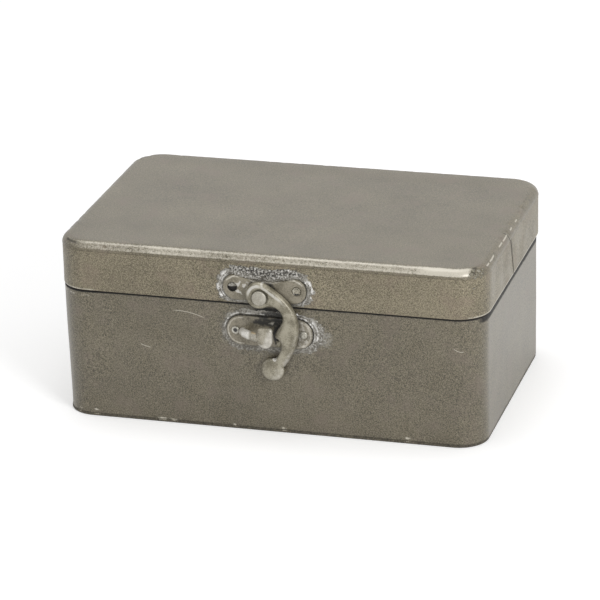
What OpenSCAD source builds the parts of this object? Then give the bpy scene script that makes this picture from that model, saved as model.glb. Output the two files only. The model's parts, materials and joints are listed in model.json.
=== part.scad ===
// Small metal box with a hinged lid and a swinging hook latch.
// Millimetres. X runs side to side, Y front to back, Z up.
// The origin is on the floor, at the centre of the case.

/* [Case] */
// Width of the case over its walls, side to side
case_w = 145; // [115:1:190]
// Depth of the case over its walls, front to back
case_d = 93; // [72:1:130]
// Height of the case, from the floor to the top edge of its wall
case_h = 45.2; // [36:0.1:70]
// Outside radius of the four upright corners
corner_r = 10; // [7:0.5:16]
// Thickness of the sheet in the wall and the base
case_sheet = 0.8; // [0.6:0.05:1.1]
// Leg of the solder fillet inside the case, where the wall meets the base
base_fillet = 1.5; // [0.8:0.1:3]

/* [Collar] */
// Thickness of the collar strip that locates the lid
collar_t = 0.6; // [0.4:0.05:1]
// Height that the collar stands above the wall's edge
collar_up = 5; // [2:0.5:7]
// Depth that the collar laps down inside the wall
collar_down = 8; // [4:0.5:14]

/* [Lid] */
// Height of the lid, from its lower edge to its top
lid_h = 17; // [14:0.5:26]
// Thickness of the sheet in the lid
lid_sheet = 0.8; // [0.6:0.05:1.1]
// How far the lid stands out past the wall, all round
lid_over = 0.9; // [0.7:0.05:1.2]
// Width of the wall's edge that the lid's turned-in edge covers
lid_bearing = 0.4; // [0.2:0.05:0.45]
// Outside radius of the lid's rounded top edge
lid_edge_r = 3; // [2:0.25:4.5]
// Gap seen between the lid's lower edge and the wall's edge
seam_gap = 0.3; // [0.2:0.05:0.6]
// Width of the open joint between the two ends of a bent strip
strip_joint = 0.4; // [0.3:0.05:0.8]
// Lean of the joint in the lid's skirt, in degrees from upright
skirt_joint_lean = 19; // [0:1:35]
// Radius of the solder bead inside the lid, under its top edge
lid_bead_r = 0.7; // [0.4:0.05:1]

/* [Latch plates] */
// Thickness of both latch plates
plate_t = 1; // [0.8:0.05:1.4]
// Radius of each lobe of the upper plate
lobe_r = 4.5; // [3.8:0.1:5.2]
// Distance between the centres of the two lobes
lobe_pitch = 19.6; // [17:0.1:24]
// Height of the upper plate's centre above the lid's lower edge
plate_up = 5.9; // [5.6:0.1:7.5]
// Length of the oval lower plate
oval_l = 29.6; // [26:0.1:36]
// Height of the oval lower plate
oval_h = 10.4; // [9:0.1:12.5]
// Radius of the fixing holes in both plates
fixing_r = 1.5; // [1.1:0.05:1.7]
// Width of the solder that shows round each plate
solder_show = 2.2; // [1:0.1:3]
// Thickness of that solder
solder_t = 0.35; // [0.2:0.05:0.5]

/* [Hook] */
// Thickness of the hook's arm
hook_t = 2.4; // [1.8:0.1:3.2]
// Space between the upper plate and the back of the arm
hook_play = 0.3; // [0.2:0.05:0.5]
// Radius of the hook's round head
head_r = 4.7; // [4:0.1:5.4]
// Distance straight down from the pivot to the centre of the knob
hook_drop = 26.2; // [22:0.1:32]
// Distance sideways from the pivot to the centre of the knob
hook_lean = 3.1; // [1:0.1:5]
// How far the back of the arm bows out sideways from the pivot
hook_bow = 12.8; // [11:0.1:15]
// Width of the arm beside the throat
arm_w = 4.9; // [4:0.1:5.6]
// Radius of the throat that goes round the catch
throat_r = 3.95; // [3:0.05:4.6]
// Distance down from the pivot to the nose
nose_drop = 13.4; // [12:0.1:15.5]
// Radius of the knob at the hook's end
knob_r = 3.85; // [3:0.05:4.6]
// Radius of the rivet's shank, which is the hook's pivot
rivet_r = 1.2; // [0.9:0.05:1.6]
// Radius of the rivet's flat head
rivet_head_r = 2.5; // [2.1:0.05:3]

/* [Catch] */
// Width of the catch's head
catch_w = 4.9; // [4.2:0.1:5.8]
// Height of the catch's head
catch_l = 6.9; // [5.6:0.1:8.4]
// Thickness of the catch's head
catch_t = 1.5; // [1.1:0.1:2]
// Thickness of the neck that carries the head
neck_t = 2.5; // [2:0.1:3]
// How far the head laps over the hook's nose
catch_lap = 0.4; // [0.2:0.05:1]

/* [Hinges] */
// Length of each hinge along its pin
hinge_l = 24; // [18:0.5:30]
// Distance from the end of the case to the middle of a hinge
hinge_inset = 32; // [26:0.5:36]
// Outside radius of the hinge knuckles
knuckle_r = 1.5; // [1.3:0.05:2]
// Radius of the hinge pin
hinge_pin_r = 0.7; // [0.5:0.05:0.9]
// Thickness of the hinge leaves
leaf_t = 0.8; // [0.6:0.05:1]
// Height of each leaf, measured from the pin's axis
leaf_h = 11.5; // [9:0.5:13]

/* [Hidden] */
$fn = 64;

// Clearances between the pieces that move or are fitted
fit = 0.05;
knuckle_gap = 0.3;
lift_gap = 0.4;
knob_gap = 0.3;
cut = 1;

// Lid
lid_z = case_h + seam_gap;
lid_top_z = lid_z + lid_h;
lid_w = case_w + 2 * lid_over;
lid_d = case_d + 2 * lid_over;
lid_r = corner_r + lid_over;
lid_front = lid_d / 2;
edge_z = lid_top_z - lid_edge_r;
turned_in = lid_over + lid_bearing;
skirt_joint_y = -4.4;

// Hinge axis, behind the lid at the height of the seam
axis_z = case_h + seam_gap / 2;
axis_v = lid_over + knuckle_gap + knuckle_r;
axis_y = case_d / 2 + axis_v;
knuckle_l = hinge_l / 3;
hinge_x = case_w / 2 - hinge_inset;
leaf_start = knuckle_r + 1.1;
leaf_flat = leaf_start + 0.4;
leaf_solder_show = 0.55 * solder_show;
pin_head_r = hinge_pin_r + 0.45;
pin_head_t = 0.4;

// Latch: places across (x) and up (z), and distances out from the lid's face
plate_z = lid_z + plate_up;
plate_x = -0.25;
hole_x = lobe_pitch / 2 + 1.15;
pivot = [-1.15, lid_z + 3.8];
waist_z = 2.4;
solder_margin = 0.3;
hook_back = plate_t + hook_play;
hook_front = hook_back + hook_t;
plate_front = plate_t - lid_over;
knob_back = max(plate_front, 0) + knob_gap;
knob_front = hook_back + 0.7 * hook_t;
rivet_head_t = 0.85;
rivet_head_back = hook_front + 0.1;
oval_x = 0.9;
oval_z = pivot[1] - nose_drop;
nail_x = 11.65;
nail_r = 1.05;
nail_proud = 0.1;
nail_head_t = 0.35;

// Hook outline, measured from the pivot
head_at = [-0.5, 0.4];
knob_at = [hook_lean, -hook_drop];
arm_back = circle_through([0.4, head_r + 0.1], [hook_bow, -0.43 * hook_drop], knob_at + [0.3, 0]);
throat_z = -0.54 * nose_drop;
throat_at = [across(arm_back, throat_z) - arm_w - throat_r, throat_z];
nose_at = [across(arm_back, -nose_drop) - 8.25, -nose_drop];
nose_r = 0.9;
under_nose = nose_at + [1.7, -1.9];
arm_belly = circle_through(under_nose, knob_at + [2.5, 7.1], knob_at + [0.1, 2.4]);

// Catch: its head stands clear of the knob, which moves out as the lid lifts
catch_z = oval_z - 0.3;
catch_top = oval_z + 0.2 + catch_l / 2;
catch_right = pivot[0] + nose_at[0] + catch_lap;
knob_below = axis_z - (pivot[1] - hook_drop);
lift = catch_top - (pivot[1] - hook_drop);
reach = lid_front + knob_front + axis_y;
lift_angle = asin(lift / reach);
knob_travel = knob_below * sin(lift_angle) - reach * (1 - cos(lift_angle));
catch_back = knob_front + knob_travel + lift_gap;
catch_front = catch_back + catch_t;
neck_x = oval_x - nail_x + 2.1;

// Centre and radius of the circle through three points, as [x, z, radius]
function circle_through(a, b, c) =
  let (
    k = 2 * (a[0] * (b[1] - c[1]) + b[0] * (c[1] - a[1]) + c[0] * (a[1] - b[1])),
    aa = a * a,
    bb = b * b,
    cc = c * c,
    x = (aa * (b[1] - c[1]) + bb * (c[1] - a[1]) + cc * (a[1] - b[1])) / k,
    z = (aa * (c[0] - b[0]) + bb * (a[0] - c[0]) + cc * (b[0] - a[0])) / k
  )
  [x, z, norm([x, z] - a)];

// Right-hand edge of a circle [x, z, radius] at height z
function across(ring, z) = ring[0] + sqrt(ring[2] * ring[2] - (z - ring[1]) * (z - ring[1]));

// Sweeps an outline round a rounded rectangle. In the outline x is the
// distance out from the rectangle's edge, negative inwards, and y is height.
module round_edge(w, d, r) {
  for (side = [0 : 3]) {
    long = side % 2 == 0;
    rotate([0, 0, 90 * side]) {
      translate([0, (long ? d : w) / 2, 0])
        rotate([90, 0, 90])
          linear_extrude((long ? w : d) - 2 * r, center = true)
            children();
      translate([(long ? w : d) / 2 - r, (long ? d : w) / 2 - r, 0])
        rotate_extrude(angle = 90)
          translate([r, 0])
            children();
    }
  }
}

// Upright band, whose outer face follows a rounded rectangle
module band(w, d, r, t, z0, z1) {
  round_edge(w, d, r)
    translate([-t, z0])
      square([t, z1 - z0]);
}

// Flat plate inside the corner arcs, from height z0 to z1
module middle(w, d, r, z0, z1) {
  translate([r - w / 2, r - d / 2, z0])
    cube([w - 2 * r, d - 2 * r, z1 - z0]);
}

// Stands an outline, drawn across and up, out from the front of the lid.
// It reaches from distance a to distance b out from the lid's face.
module on_front(a, b) {
  translate([0, -lid_front - a, 0])
    rotate([90, 0, 0])
      linear_extrude(b - a)
        children();
}

// The same for the front of the case, which lies behind the lid's face
module on_case(a, b) {
  on_front(a - lid_over, b - lid_over)
    children();
}

// Case

module base_plate() {
  color([0.40, 0.39, 0.34]) {
    round_edge(case_w, case_d, corner_r)
      translate([-corner_r, 0])
        square([corner_r, case_sheet]);
    middle(case_w, case_d, corner_r, 0, case_sheet);
  }
}

module case_joint(width, z0, z1) {
  translate([-width / 2, case_d / 2 - case_sheet - cut, z0])
    cube([width, case_sheet + 2 * cut, z1 - z0]);
}

module case_wall() {
  color([0.44, 0.43, 0.37])
    difference() {
      band(case_w, case_d, corner_r, case_sheet, case_sheet, case_h);
      case_joint(strip_joint, 0, case_h + cut);
    }
}

module rim_collar() {
  inset = 2 * case_sheet;
  color([0.50, 0.49, 0.44])
    band(
      case_w - inset, case_d - inset, corner_r - case_sheet,
      collar_t, case_h - collar_down, case_h + collar_up
    );
}

module base_solder() {
  inset = 2 * case_sheet;
  color([0.62, 0.61, 0.58])
    round_edge(case_w - inset, case_d - inset, corner_r - case_sheet)
      polygon([
        [0, case_sheet],
        [0, case_sheet + base_fillet],
        [-base_fillet, case_sheet]
      ]);
}

// Solder that fills the wall's joint at the back and stands just proud of it
module case_seam_solder() {
  proud = 0.25;
  color([0.60, 0.59, 0.56]) {
    translate([-strip_joint / 2, case_d / 2 - case_sheet, case_sheet])
      cube([strip_joint, case_sheet, case_h - case_sheet]);
    translate([-2 * strip_joint, case_d / 2, case_sheet])
      cube([4 * strip_joint, proud, case_h - case_sheet]);
  }
}

// Catch

module oval(grow) {
  end_r = oval_h / 2;
  for (side = [-1, 1])
    translate([side * (oval_l / 2 - end_r), 0])
      circle(end_r + grow + fit);
  square([oval_l - 2 * end_r, oval_h + 2 * grow], center = true);
}

module catch_plate() {
  color([0.47, 0.46, 0.41])
    on_case(0, plate_t)
      translate([oval_x, oval_z])
        difference() {
          oval(0);
          for (side = [-1, 1])
            translate([side * nail_x, 0])
              circle(nail_r + fit);
        }
}

// Small pins in the lower plate, with low round heads
module catch_plate_pins() {
  color([0.62, 0.61, 0.57])
    for (side = [-1, 1])
      translate([oval_x + side * nail_x, -case_d / 2, oval_z])
        rotate([90, 0, 0]) {
          cylinder(r = nail_r, h = plate_t + nail_proud);
          translate([0, 0, plate_t + nail_proud])
            cylinder(r = nail_r + nail_head_t, h = nail_head_t);
        }
}

module catch_plate_solder() {
  color([0.66, 0.66, 0.64])
    on_case(0, solder_t)
      translate([oval_x, oval_z])
        difference() {
          oval(solder_show);
          oval(fit);
        }
}

// Cast catch: a neck that rises out from the plate and a head that faces forward
module catch() {
  foot = plate_front;
  rise = catch_back - foot;
  head_left = catch_right - catch_w;
  color([0.58, 0.57, 0.53]) {
    translate([0, -lid_front, catch_z - neck_t / 2])
      linear_extrude(neck_t)
        polygon([
          [neck_x, -foot],
          [neck_x + 2.2, -foot],
          [head_left - 1.2, -catch_back],
          [head_left + 1, -catch_back],
          [head_left + 1, -catch_front],
          [head_left - 2.2, -catch_front],
          [neck_x, -foot - 0.35 * rise]
        ]);
    on_front(catch_back, catch_front)
      intersection() {
        union() {
          translate([catch_right - catch_w / 2, catch_top - catch_l + catch_w / 2])
            circle(catch_w / 2 + fit);
          translate([head_left, catch_top - catch_l + catch_w / 2])
            square([catch_w, catch_l]);
        }
        translate([head_left - cut, catch_top - catch_l])
          square([catch_w + 2 * cut, catch_l]);
      }
  }
}

// Hinges

// Places a hinge piece behind the case. Here x runs along the pin, y is the
// distance out from the case's back face and z is the height above the pin.
module at_hinge(side) {
  translate([side * hinge_x, case_d / 2, axis_z])
    children();
}

module knuckle(from, length) {
  translate([from, axis_v, 0])
    rotate([0, 90, 0])
      cylinder(r = knuckle_r, h = length);
}

// Extrudes an outline of y and z along the pin
module along_pin(from, length) {
  translate([from, 0, 0])
    rotate([90, 0, 90])
      linear_extrude(length)
        children();
}

module pin_bore() {
  translate([-hinge_l / 2 - cut, axis_v, 0])
    rotate([0, 90, 0])
      cylinder(r = hinge_pin_r + fit, h = hinge_l + 2 * cut);
}

// Bend from a leaf's flat part to its knuckle. dir is 1 up and -1 down, and
// face is how far out the leaf's back lies.
module leaf_bend(face, dir) {
  polygon([
    [face, dir * leaf_start],
    [face, dir * (leaf_start + 0.9)],
    [face + leaf_t, dir * (leaf_start + 0.9)],
    [axis_v + 0.55 * knuckle_r, dir * 0.65 * knuckle_r],
    [axis_v - 0.55 * knuckle_r, dir * 0.65 * knuckle_r]
  ]);
}

module case_leaf(side) {
  color([0.45, 0.44, 0.39])
    at_hinge(side)
      difference() {
        union() {
          translate([-hinge_l / 2, 0, -leaf_h])
            cube([hinge_l, leaf_t, leaf_h - leaf_flat]);
          for (from = [-hinge_l / 2, knuckle_l / 2 + fit]) {
            knuckle(from, knuckle_l - fit);
            along_pin(from, knuckle_l - fit)
              leaf_bend(0, -1);
          }
        }
        pin_bore();
      }
}

module lid_leaf(side) {
  color([0.45, 0.44, 0.39])
    at_hinge(side)
      difference() {
        union() {
          translate([-hinge_l / 2, lid_over, leaf_flat])
            cube([hinge_l, leaf_t, leaf_h - leaf_flat]);
          knuckle(-knuckle_l / 2 + fit, knuckle_l - 2 * fit);
          along_pin(-knuckle_l / 2 + fit, knuckle_l - 2 * fit)
            leaf_bend(lid_over, 1);
        }
        pin_bore();
      }
}

module hinge_left_case_leaf() {
  case_leaf(-1);
}

module hinge_right_case_leaf() {
  case_leaf(1);
}

module hinge_left_lid_leaf() {
  lid_leaf(-1);
}

module hinge_right_lid_leaf() {
  lid_leaf(1);
}

module hinge_pins() {
  color([0.55, 0.54, 0.50])
    for (side = [-1, 1])
      at_hinge(side)
        translate([-hinge_l / 2 - fit, axis_v, 0])
          rotate([0, 90, 0]) {
            cylinder(r = hinge_pin_r, h = hinge_l + 2 * fit);
            translate([0, 0, -pin_head_t])
              cylinder(r = pin_head_r, h = pin_head_t);
            translate([0, 0, hinge_l + 2 * fit])
              cylinder(r = pin_head_r, h = pin_head_t);
          }
}

// Solder that shows round a leaf on the face at distance y, from z0 to z1
module leaf_solder(face, z0, z1) {
  for (side = [-1, 1])
    at_hinge(side)
      difference() {
        translate([-hinge_l / 2 - leaf_solder_show, face, z0])
          cube([hinge_l + 2 * leaf_solder_show, solder_t, z1 - z0]);
        translate([-hinge_l / 2 - fit, face - cut, -leaf_h - fit])
          cube([hinge_l + 2 * fit, solder_t + 2 * cut, 2 * (leaf_h + fit)]);
      }
}

module hinge_case_solder() {
  color([0.62, 0.61, 0.58])
    leaf_solder(0, -leaf_h - leaf_solder_show, -leaf_flat);
}

module hinge_lid_solder() {
  color([0.62, 0.61, 0.58])
    leaf_solder(lid_over, leaf_flat, leaf_h + leaf_solder_show);
}

// Lid

module lid_top() {
  color([0.52, 0.51, 0.46]) {
    round_edge(lid_w, lid_d, lid_r) {
      translate([-lid_r, lid_top_z - lid_sheet])
        square([lid_r - lid_edge_r, lid_sheet]);
      translate([-lid_edge_r, edge_z])
        intersection() {
          difference() {
            circle(lid_edge_r);
            circle(lid_edge_r - lid_sheet);
          }
          square(lid_edge_r);
        }
    }
    middle(lid_w, lid_d, lid_r, lid_top_z - lid_sheet, lid_top_z);
  }
}

// Leaning cut on the lid's right side, where the ends of its strip meet
module skirt_joint(width, out) {
  intersection() {
    translate([lid_w / 2 - lid_sheet, skirt_joint_y, (lid_z + edge_z) / 2])
      rotate([skirt_joint_lean, 0, 0])
        translate([0, -width / 2, -2 * lid_h])
          cube([lid_sheet + out, width, 4 * lid_h]);
    translate([0, -case_d / 2, lid_z])
      cube([lid_w, case_d, edge_z - lid_z]);
  }
}

module lid_skirt() {
  color([0.48, 0.47, 0.41])
    difference() {
      union() {
        band(lid_w, lid_d, lid_r, lid_sheet, lid_z, edge_z);
        band(lid_w, lid_d, lid_r, turned_in, lid_z, lid_z + lid_sheet);
      }
      skirt_joint(strip_joint, cut);
    }
}

module lid_seam_solder() {
  color([0.60, 0.59, 0.55])
    skirt_joint(strip_joint, 0);
}

// Solder bead inside the lid, where the top's turned-down edge meets the skirt
module lid_edge_solder() {
  color([0.62, 0.61, 0.58])
    round_edge(lid_w, lid_d, lid_r)
      intersection() {
        translate([-lid_sheet - fit, edge_z])
          circle(lid_bead_r);
        union() {
          translate([-lid_sheet - fit - lid_bead_r - cut, edge_z - lid_bead_r - cut])
            square(lid_bead_r + cut);
          translate([-lid_edge_r, edge_z])
            circle(lid_edge_r - lid_sheet - fit);
        }
      }
}

// Latch

// Bow-tie outline of the upper plate: two lobes, a web with a dip, and the
// round boss under the hook's head
module bow_tie(grow) {
  half = lobe_pitch / 2;
  for (side = [-1, 1])
    translate([side * half, 0])
      circle(lobe_r + grow);
  polygon([
    [-half, -lobe_r + 0.3 - grow],
    [half, -lobe_r + 0.3 - grow],
    [half, lobe_r - 0.1 + grow],
    [0.25 * half, waist_z + grow],
    [-0.35 * half, waist_z + grow],
    [-half, lobe_r - 0.1 + grow]
  ]);
}

module latch_plate() {
  color([0.47, 0.46, 0.41])
    on_front(0, plate_t)
      difference() {
        translate([plate_x, plate_z])
          bow_tie(0);
        for (side = [-1, 1])
          translate([plate_x + side * hole_x, plate_z])
            circle(fixing_r);
        translate(pivot)
          circle(rivet_r + fit);
      }
}

module latch_plate_pin() {
  color([0.55, 0.54, 0.50])
    on_front(0, plate_t)
      translate([plate_x + hole_x, plate_z])
        circle(fixing_r - fit);
}

module latch_plate_solder() {
  color([0.66, 0.66, 0.64])
    on_front(0, solder_t)
      intersection() {
        translate([plate_x, plate_z])
          difference() {
            bow_tie(solder_show);
            bow_tie(fit);
          }
        translate([-lid_w / 2, lid_z + solder_margin])
          square([lid_w, edge_z - lid_z - 2 * solder_margin]);
      }
}

module hook_rivet() {
  color([0.60, 0.59, 0.55])
    translate([pivot[0], -lid_front, pivot[1]])
      rotate([90, 0, 0]) {
        cylinder(r = rivet_r, h = rivet_head_back);
        translate([0, 0, rivet_head_back])
          cylinder(r = rivet_head_r, h = rivet_head_t);
      }
}

// Flat outline of the hook's head and arm, measured from the pivot
module hook_outline() {
  translate(head_at)
    circle(head_r);
  translate(nose_at + [nose_r, 0])
    circle(nose_r);
  difference() {
    intersection() {
      translate([arm_back[0], arm_back[1]])
        circle(arm_back[2], $fn = 128);
      polygon([
        head_at,
        [head_at[0], hook_bow],
        [2 * hook_bow, hook_bow],
        [2 * hook_bow, -hook_drop - knob_r],
        [knob_at[0], -hook_drop - knob_r],
        [knob_at[0], under_nose[1]],
        under_nose,
        nose_at + [0.7, -0.8],
        nose_at + [0.6, 0.75],
        throat_at + [throat_r - 1, -2],
        throat_at
      ]);
    }
    translate(throat_at)
      circle(throat_r);
    intersection() {
      translate([arm_belly[0], arm_belly[1]])
        circle(arm_belly[2], $fn = 128);
      translate([-hook_drop, -2 * hook_drop])
        square([2 * hook_drop, 2 * hook_drop + under_nose[1]]);
    }
  }
}

// Side view of the arm, as distance out and height: flat beside the catch,
// then sloping back towards the knob
module hook_side() {
  polygon([
    [hook_back, 2 * head_r],
    [hook_front, 2 * head_r],
    [hook_front, -nose_drop],
    [knob_front - 0.4, -hook_drop - 1],
    [knob_back + 0.2, -hook_drop - 1],
    [hook_back, -nose_drop]
  ]);
}

// Knob: a low dome with a flat back
module knob() {
  rim = 0.45 * (knob_front - knob_back);
  rise = knob_front - knob_back - rim;
  dome_r = (knob_r * knob_r + rise * rise) / (2 * rise);
  translate([0, 0, knob_back]) {
    cylinder(r = knob_r, h = rim);
    intersection() {
      translate([0, 0, rim + rise - dome_r])
        sphere(dome_r);
      translate([0, 0, rim])
        cylinder(r = knob_r, h = rise + cut);
    }
  }
}

module hook() {
  color([0.56, 0.55, 0.50])
    translate([pivot[0], -lid_front, pivot[1]])
      rotate([90, 0, 0])
        difference() {
          union() {
            intersection() {
              translate([0, 0, hook_back])
                linear_extrude(hook_t)
                  hook_outline();
              translate([-2 * hook_bow, 0, 0])
                rotate([90, 0, 90])
                  linear_extrude(4 * hook_bow)
                    mirror([1, -1])
                      hook_side();
            }
            translate(concat(knob_at, 0))
              knob();
          }
          cylinder(r = rivet_r + fit, h = 2 * hook_front);
        }
}

base_plate();
case_wall();
rim_collar();
base_solder();
case_seam_solder();
catch_plate();
catch();
catch_plate_pins();
catch_plate_solder();
hinge_left_case_leaf();
hinge_right_case_leaf();
hinge_pins();
hinge_case_solder();
lid_top();
lid_skirt();
lid_edge_solder();
lid_seam_solder();
latch_plate();
latch_plate_pin();
latch_plate_solder();
hook_rivet();
hinge_left_lid_leaf();
hinge_right_lid_leaf();
hinge_lid_solder();
hook();
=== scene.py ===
import json
import math

import bmesh
import bpy
import numpy as np
from mathutils import Matrix, Vector, geometry, noise


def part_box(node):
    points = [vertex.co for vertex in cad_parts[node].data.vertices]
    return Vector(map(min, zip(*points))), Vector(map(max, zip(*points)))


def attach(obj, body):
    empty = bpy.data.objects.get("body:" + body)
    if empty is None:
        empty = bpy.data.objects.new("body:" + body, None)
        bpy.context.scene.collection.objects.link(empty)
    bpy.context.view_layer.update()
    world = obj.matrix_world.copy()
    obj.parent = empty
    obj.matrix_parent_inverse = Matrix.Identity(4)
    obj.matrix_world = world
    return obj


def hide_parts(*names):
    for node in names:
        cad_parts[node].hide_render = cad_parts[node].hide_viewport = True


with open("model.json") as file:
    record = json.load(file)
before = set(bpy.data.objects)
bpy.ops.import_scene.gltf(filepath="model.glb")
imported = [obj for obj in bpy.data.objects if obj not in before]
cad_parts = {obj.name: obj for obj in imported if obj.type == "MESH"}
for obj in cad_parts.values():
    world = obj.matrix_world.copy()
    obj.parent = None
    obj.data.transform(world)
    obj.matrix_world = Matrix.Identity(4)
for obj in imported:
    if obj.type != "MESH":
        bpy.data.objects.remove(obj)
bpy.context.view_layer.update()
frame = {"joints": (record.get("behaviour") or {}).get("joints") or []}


# Case wall
# One strip of thin sheet, bent by hand round four upright corners. Its ends
# meet at the middle of the back. The hammer has left it slightly hollow, and
# its grey-olive metallic coat is speckled and darkened with age. Painted shade
# darkens it under the lid's edge, down its left side and behind the hook.
MM = 0.001
corner_r = 10.0
sheet_t = 0.8
edge_round = 0.12
rolled_edge = 0.55
strip_gap = 0.4
wall_hollow = 0.35
corner_flare = 0.85
end_flare = 0.3
bend_step = 1.2
weld_mm = 0.002


def limits(node):
    """Lowest and highest corner of a CAD node, in millimetres."""
    low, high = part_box(node)
    return low / MM, high / MM


wall_low, wall_high = limits("case_wall")
case_size = (wall_high.x - wall_low.x, wall_high.y - wall_low.y, corner_r)


def stretches(size):
    """Lengths of the flats and bends round a rounded rectangle, clockwise from
    the middle of its back."""
    width, depth, radius = size
    across, deep, bend = width - 2 * radius, depth - 2 * radius, radius * math.pi / 2
    return [across / 2, bend, deep, bend, across, bend, deep, bend, across / 2]


def walk_round(distances, size):
    """Place and outward direction at each distance round the rectangle."""
    radius = size[2]
    place = np.zeros((len(distances), 2))
    out = np.zeros((len(distances), 2))
    at, heading, begun = np.array([0.0, size[1] / 2]), 0.0, 0.0
    for index, length in enumerate(stretches(size)):
        on = (distances >= begun) & (distances <= begun + length)
        along = np.array([math.cos(heading), math.sin(heading)])
        side = np.array([-along[1], along[0]])
        if index % 2:
            turned = heading - (distances[on] - begun) / radius
            out[on] = np.stack([-np.sin(turned), np.cos(turned)], 1)
            place[on] = at + radius * (out[on] - side)
            heading -= math.pi / 2
            at = at + radius * (along - side)
        else:
            place[on] = at + np.outer(distances[on] - begun, along)
            out[on] = side
            at = at + along * length
        begun += length
    return place, out


def ring_places(size, step, start=0.0, gap=0.0):
    """Distances at which rings are set, closer in the bends. A gap leaves the
    strip open at the start."""
    marks, begun = [], 0.0
    for index, length in enumerate(stretches(size)):
        count = math.ceil(length / (min(step, bend_step) if index % 2 else step))
        marks.append(begun + np.arange(count) / count * length)
        begun += length
    marks = np.sort((np.concatenate(marks) - start) % begun)
    if gap:
        inside = marks[(marks > gap) & (marks < begun - gap)]
        marks = np.concatenate([[gap / 2], inside, [begun - gap / 2]])
    return (marks + start) % begun


def add_object(name, data):
    """An object in the scene, made of a mesh, a lamp or a camera."""
    made = bpy.data.objects.new(name, data)
    bpy.context.scene.collection.objects.link(made)
    return made


def make_piece(name, points, faces, sharp=35.0):
    """A mesh object from points in millimetres, welded, with crisp corners kept."""
    mesh = bpy.data.meshes.new(name)
    mesh.from_pydata((np.asarray(points, float).reshape(-1, 3) * MM).tolist(), [], faces)
    shape = bmesh.new()
    shape.from_mesh(mesh)
    bmesh.ops.remove_doubles(shape, verts=shape.verts, dist=weld_mm * MM)
    bmesh.ops.recalc_face_normals(shape, faces=shape.faces)
    shape.to_mesh(mesh)
    shape.free()
    mesh.shade_smooth()
    mesh.set_sharp_from_angle(angle=math.radians(sharp))
    return add_object(name, mesh)


def tube_faces(rings, sides, closed):
    """Faces of a tube of rings, each of so many sides, closed on itself or capped."""
    faces = []
    for ring in range(rings if closed else rings - 1):
        after = (ring + 1) % rings
        for side in range(sides):
            beside = (side + 1) % sides
            faces.append([
                ring * sides + side, ring * sides + beside,
                after * sides + beside, after * sides + side,
            ])
    if not closed:
        faces.append(list(range(sides)))
        faces.append([(rings - 1) * sides + side for side in reversed(range(sides))])
    return faces


def carry_round(size, rings, profile):
    """The points of a profile of (distance out, height) at each ring round the
    rectangle, and each ring's outward direction."""
    place, out = walk_round(rings, size)
    profile = np.array(profile)
    points = np.zeros((len(rings), len(profile), 3))
    points[:, :, :2] = place[:, None] + out[:, None] * profile[None, :, :1]
    points[:, :, 2] = profile[:, 1]
    return points, out[:, None, :]


def bend_strip(name, size, rings, profile, work=None, closed=False):
    """A strip with a closed profile, bent round the rectangle. work then moves its
    points, as hand work does. closed joins the ends, which are else capped."""
    points, out = carry_round(size, rings, profile)
    if work:
        points = work(points, out)
    return make_piece(name, points, tube_faces(len(rings), len(profile), closed))


def upright(bottom, top, thick, step, rolled=edge_round):
    """Profile of an upright sheet with softened edges, its outer face at 0. Its
    rows lie closer together near both edges, where it is dirty, and its upper
    outer edge is rolled over by a radius."""
    soft = min(edge_round, thick / 3)
    low, high = bottom + soft, top - rolled
    near, far = [0.25, 0.5, 0.8, 1.2, 1.7], 2.4
    heights = np.concatenate([
        [low], [low + reach for reach in near],
        np.linspace(low + far, high - far, max(2, math.ceil((top - bottom) / step))),
        [high - reach for reach in near[::-1]], [high],
    ])
    outer = [(0.0, height) for height in heights]
    inner = [(-thick, height) for height in heights[::-1] if height < top - soft]
    roll = [
        (rolled * (math.cos(turn) - 1), high + rolled * math.sin(turn))
        for turn in np.radians([22, 45, 67, 90])
    ]
    return (
        [(-soft, bottom)] + outer + roll + [(soft - thick, top), (-thick, top - soft)]
        + inner + [(soft - thick, bottom)]
    )


def ripple(points, size, seed):
    """Smooth unevenness between 0 and 1, with lumps of about the given size."""
    flat = np.asarray(points).reshape(-1, 3) / size + seed
    values = [noise.noise(Vector(point)) for point in flat]
    return np.clip(0.5 + 0.5 * np.array(values).reshape(np.shape(points)[:-1]), 0, 1)


def fade(values, low, high):
    """0 at low, 1 at high, and a smooth curve between."""
    share = np.clip((np.asarray(values, float) - low) / (high - low), 0, 1)
    return share * share * (3 - 2 * share)


def band_at(distance, middle, half):
    """1 along a line at some distance from an edge, and 0 away from it."""
    return fade(np.abs(distance - middle), half, 0.3 * half)


def flecked(points, size, seed, low, high):
    """1 on ragged flecks of about the given size, and 0 between them."""
    return fade(ripple(points, size, seed), low, high)


def patch(points, middle, edge, core, halves=(1.0, 1.0)):
    """1 within core of a place on the front, seen from the front, and 0 beyond
    edge. halves makes it an oval, so many times as wide and as high."""
    across = (points[..., 0] - middle[0]) / halves[0]
    return fade(np.hypot(across, (points[..., 2] - middle[1]) / halves[1]), edge, core)


def strongest(*masks):
    """The highest of several masks at each point."""
    return np.maximum.reduce(masks)


hinge_l = 24.0
hinge_x = limits("hinge_right_case_leaf")[0].x + hinge_l / 2
latch_x = 0.5
fittings_z = 45.0
latch_place = np.array([latch_x, wall_low.y, fittings_z])
hinge_places = [np.array([side * hinge_x, wall_high.y, fittings_z]) for side in (-1, 1)]


def clear_of_fittings(points):
    """0 where the plates and hinges are soldered on, which stays flat, and 1 away."""
    free = fade(np.linalg.norm(points - latch_place, axis=-1), 19, 34)
    for place in hinge_places:
        free = free * fade(np.linalg.norm(points - place, axis=-1), 17, 28)
    return free


def hollow(points, out, deep, seed):
    """Sinks the middle of each side and the hammer's marks."""
    dips = 0.75 * ripple(points, 30.0, seed) + 0.25 * ripple(points, 9.0, seed)
    inward = deep * dips * clear_of_fittings(points)
    moved = points.copy()
    moved[..., :2] -= out * inward[..., None]
    return moved


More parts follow.
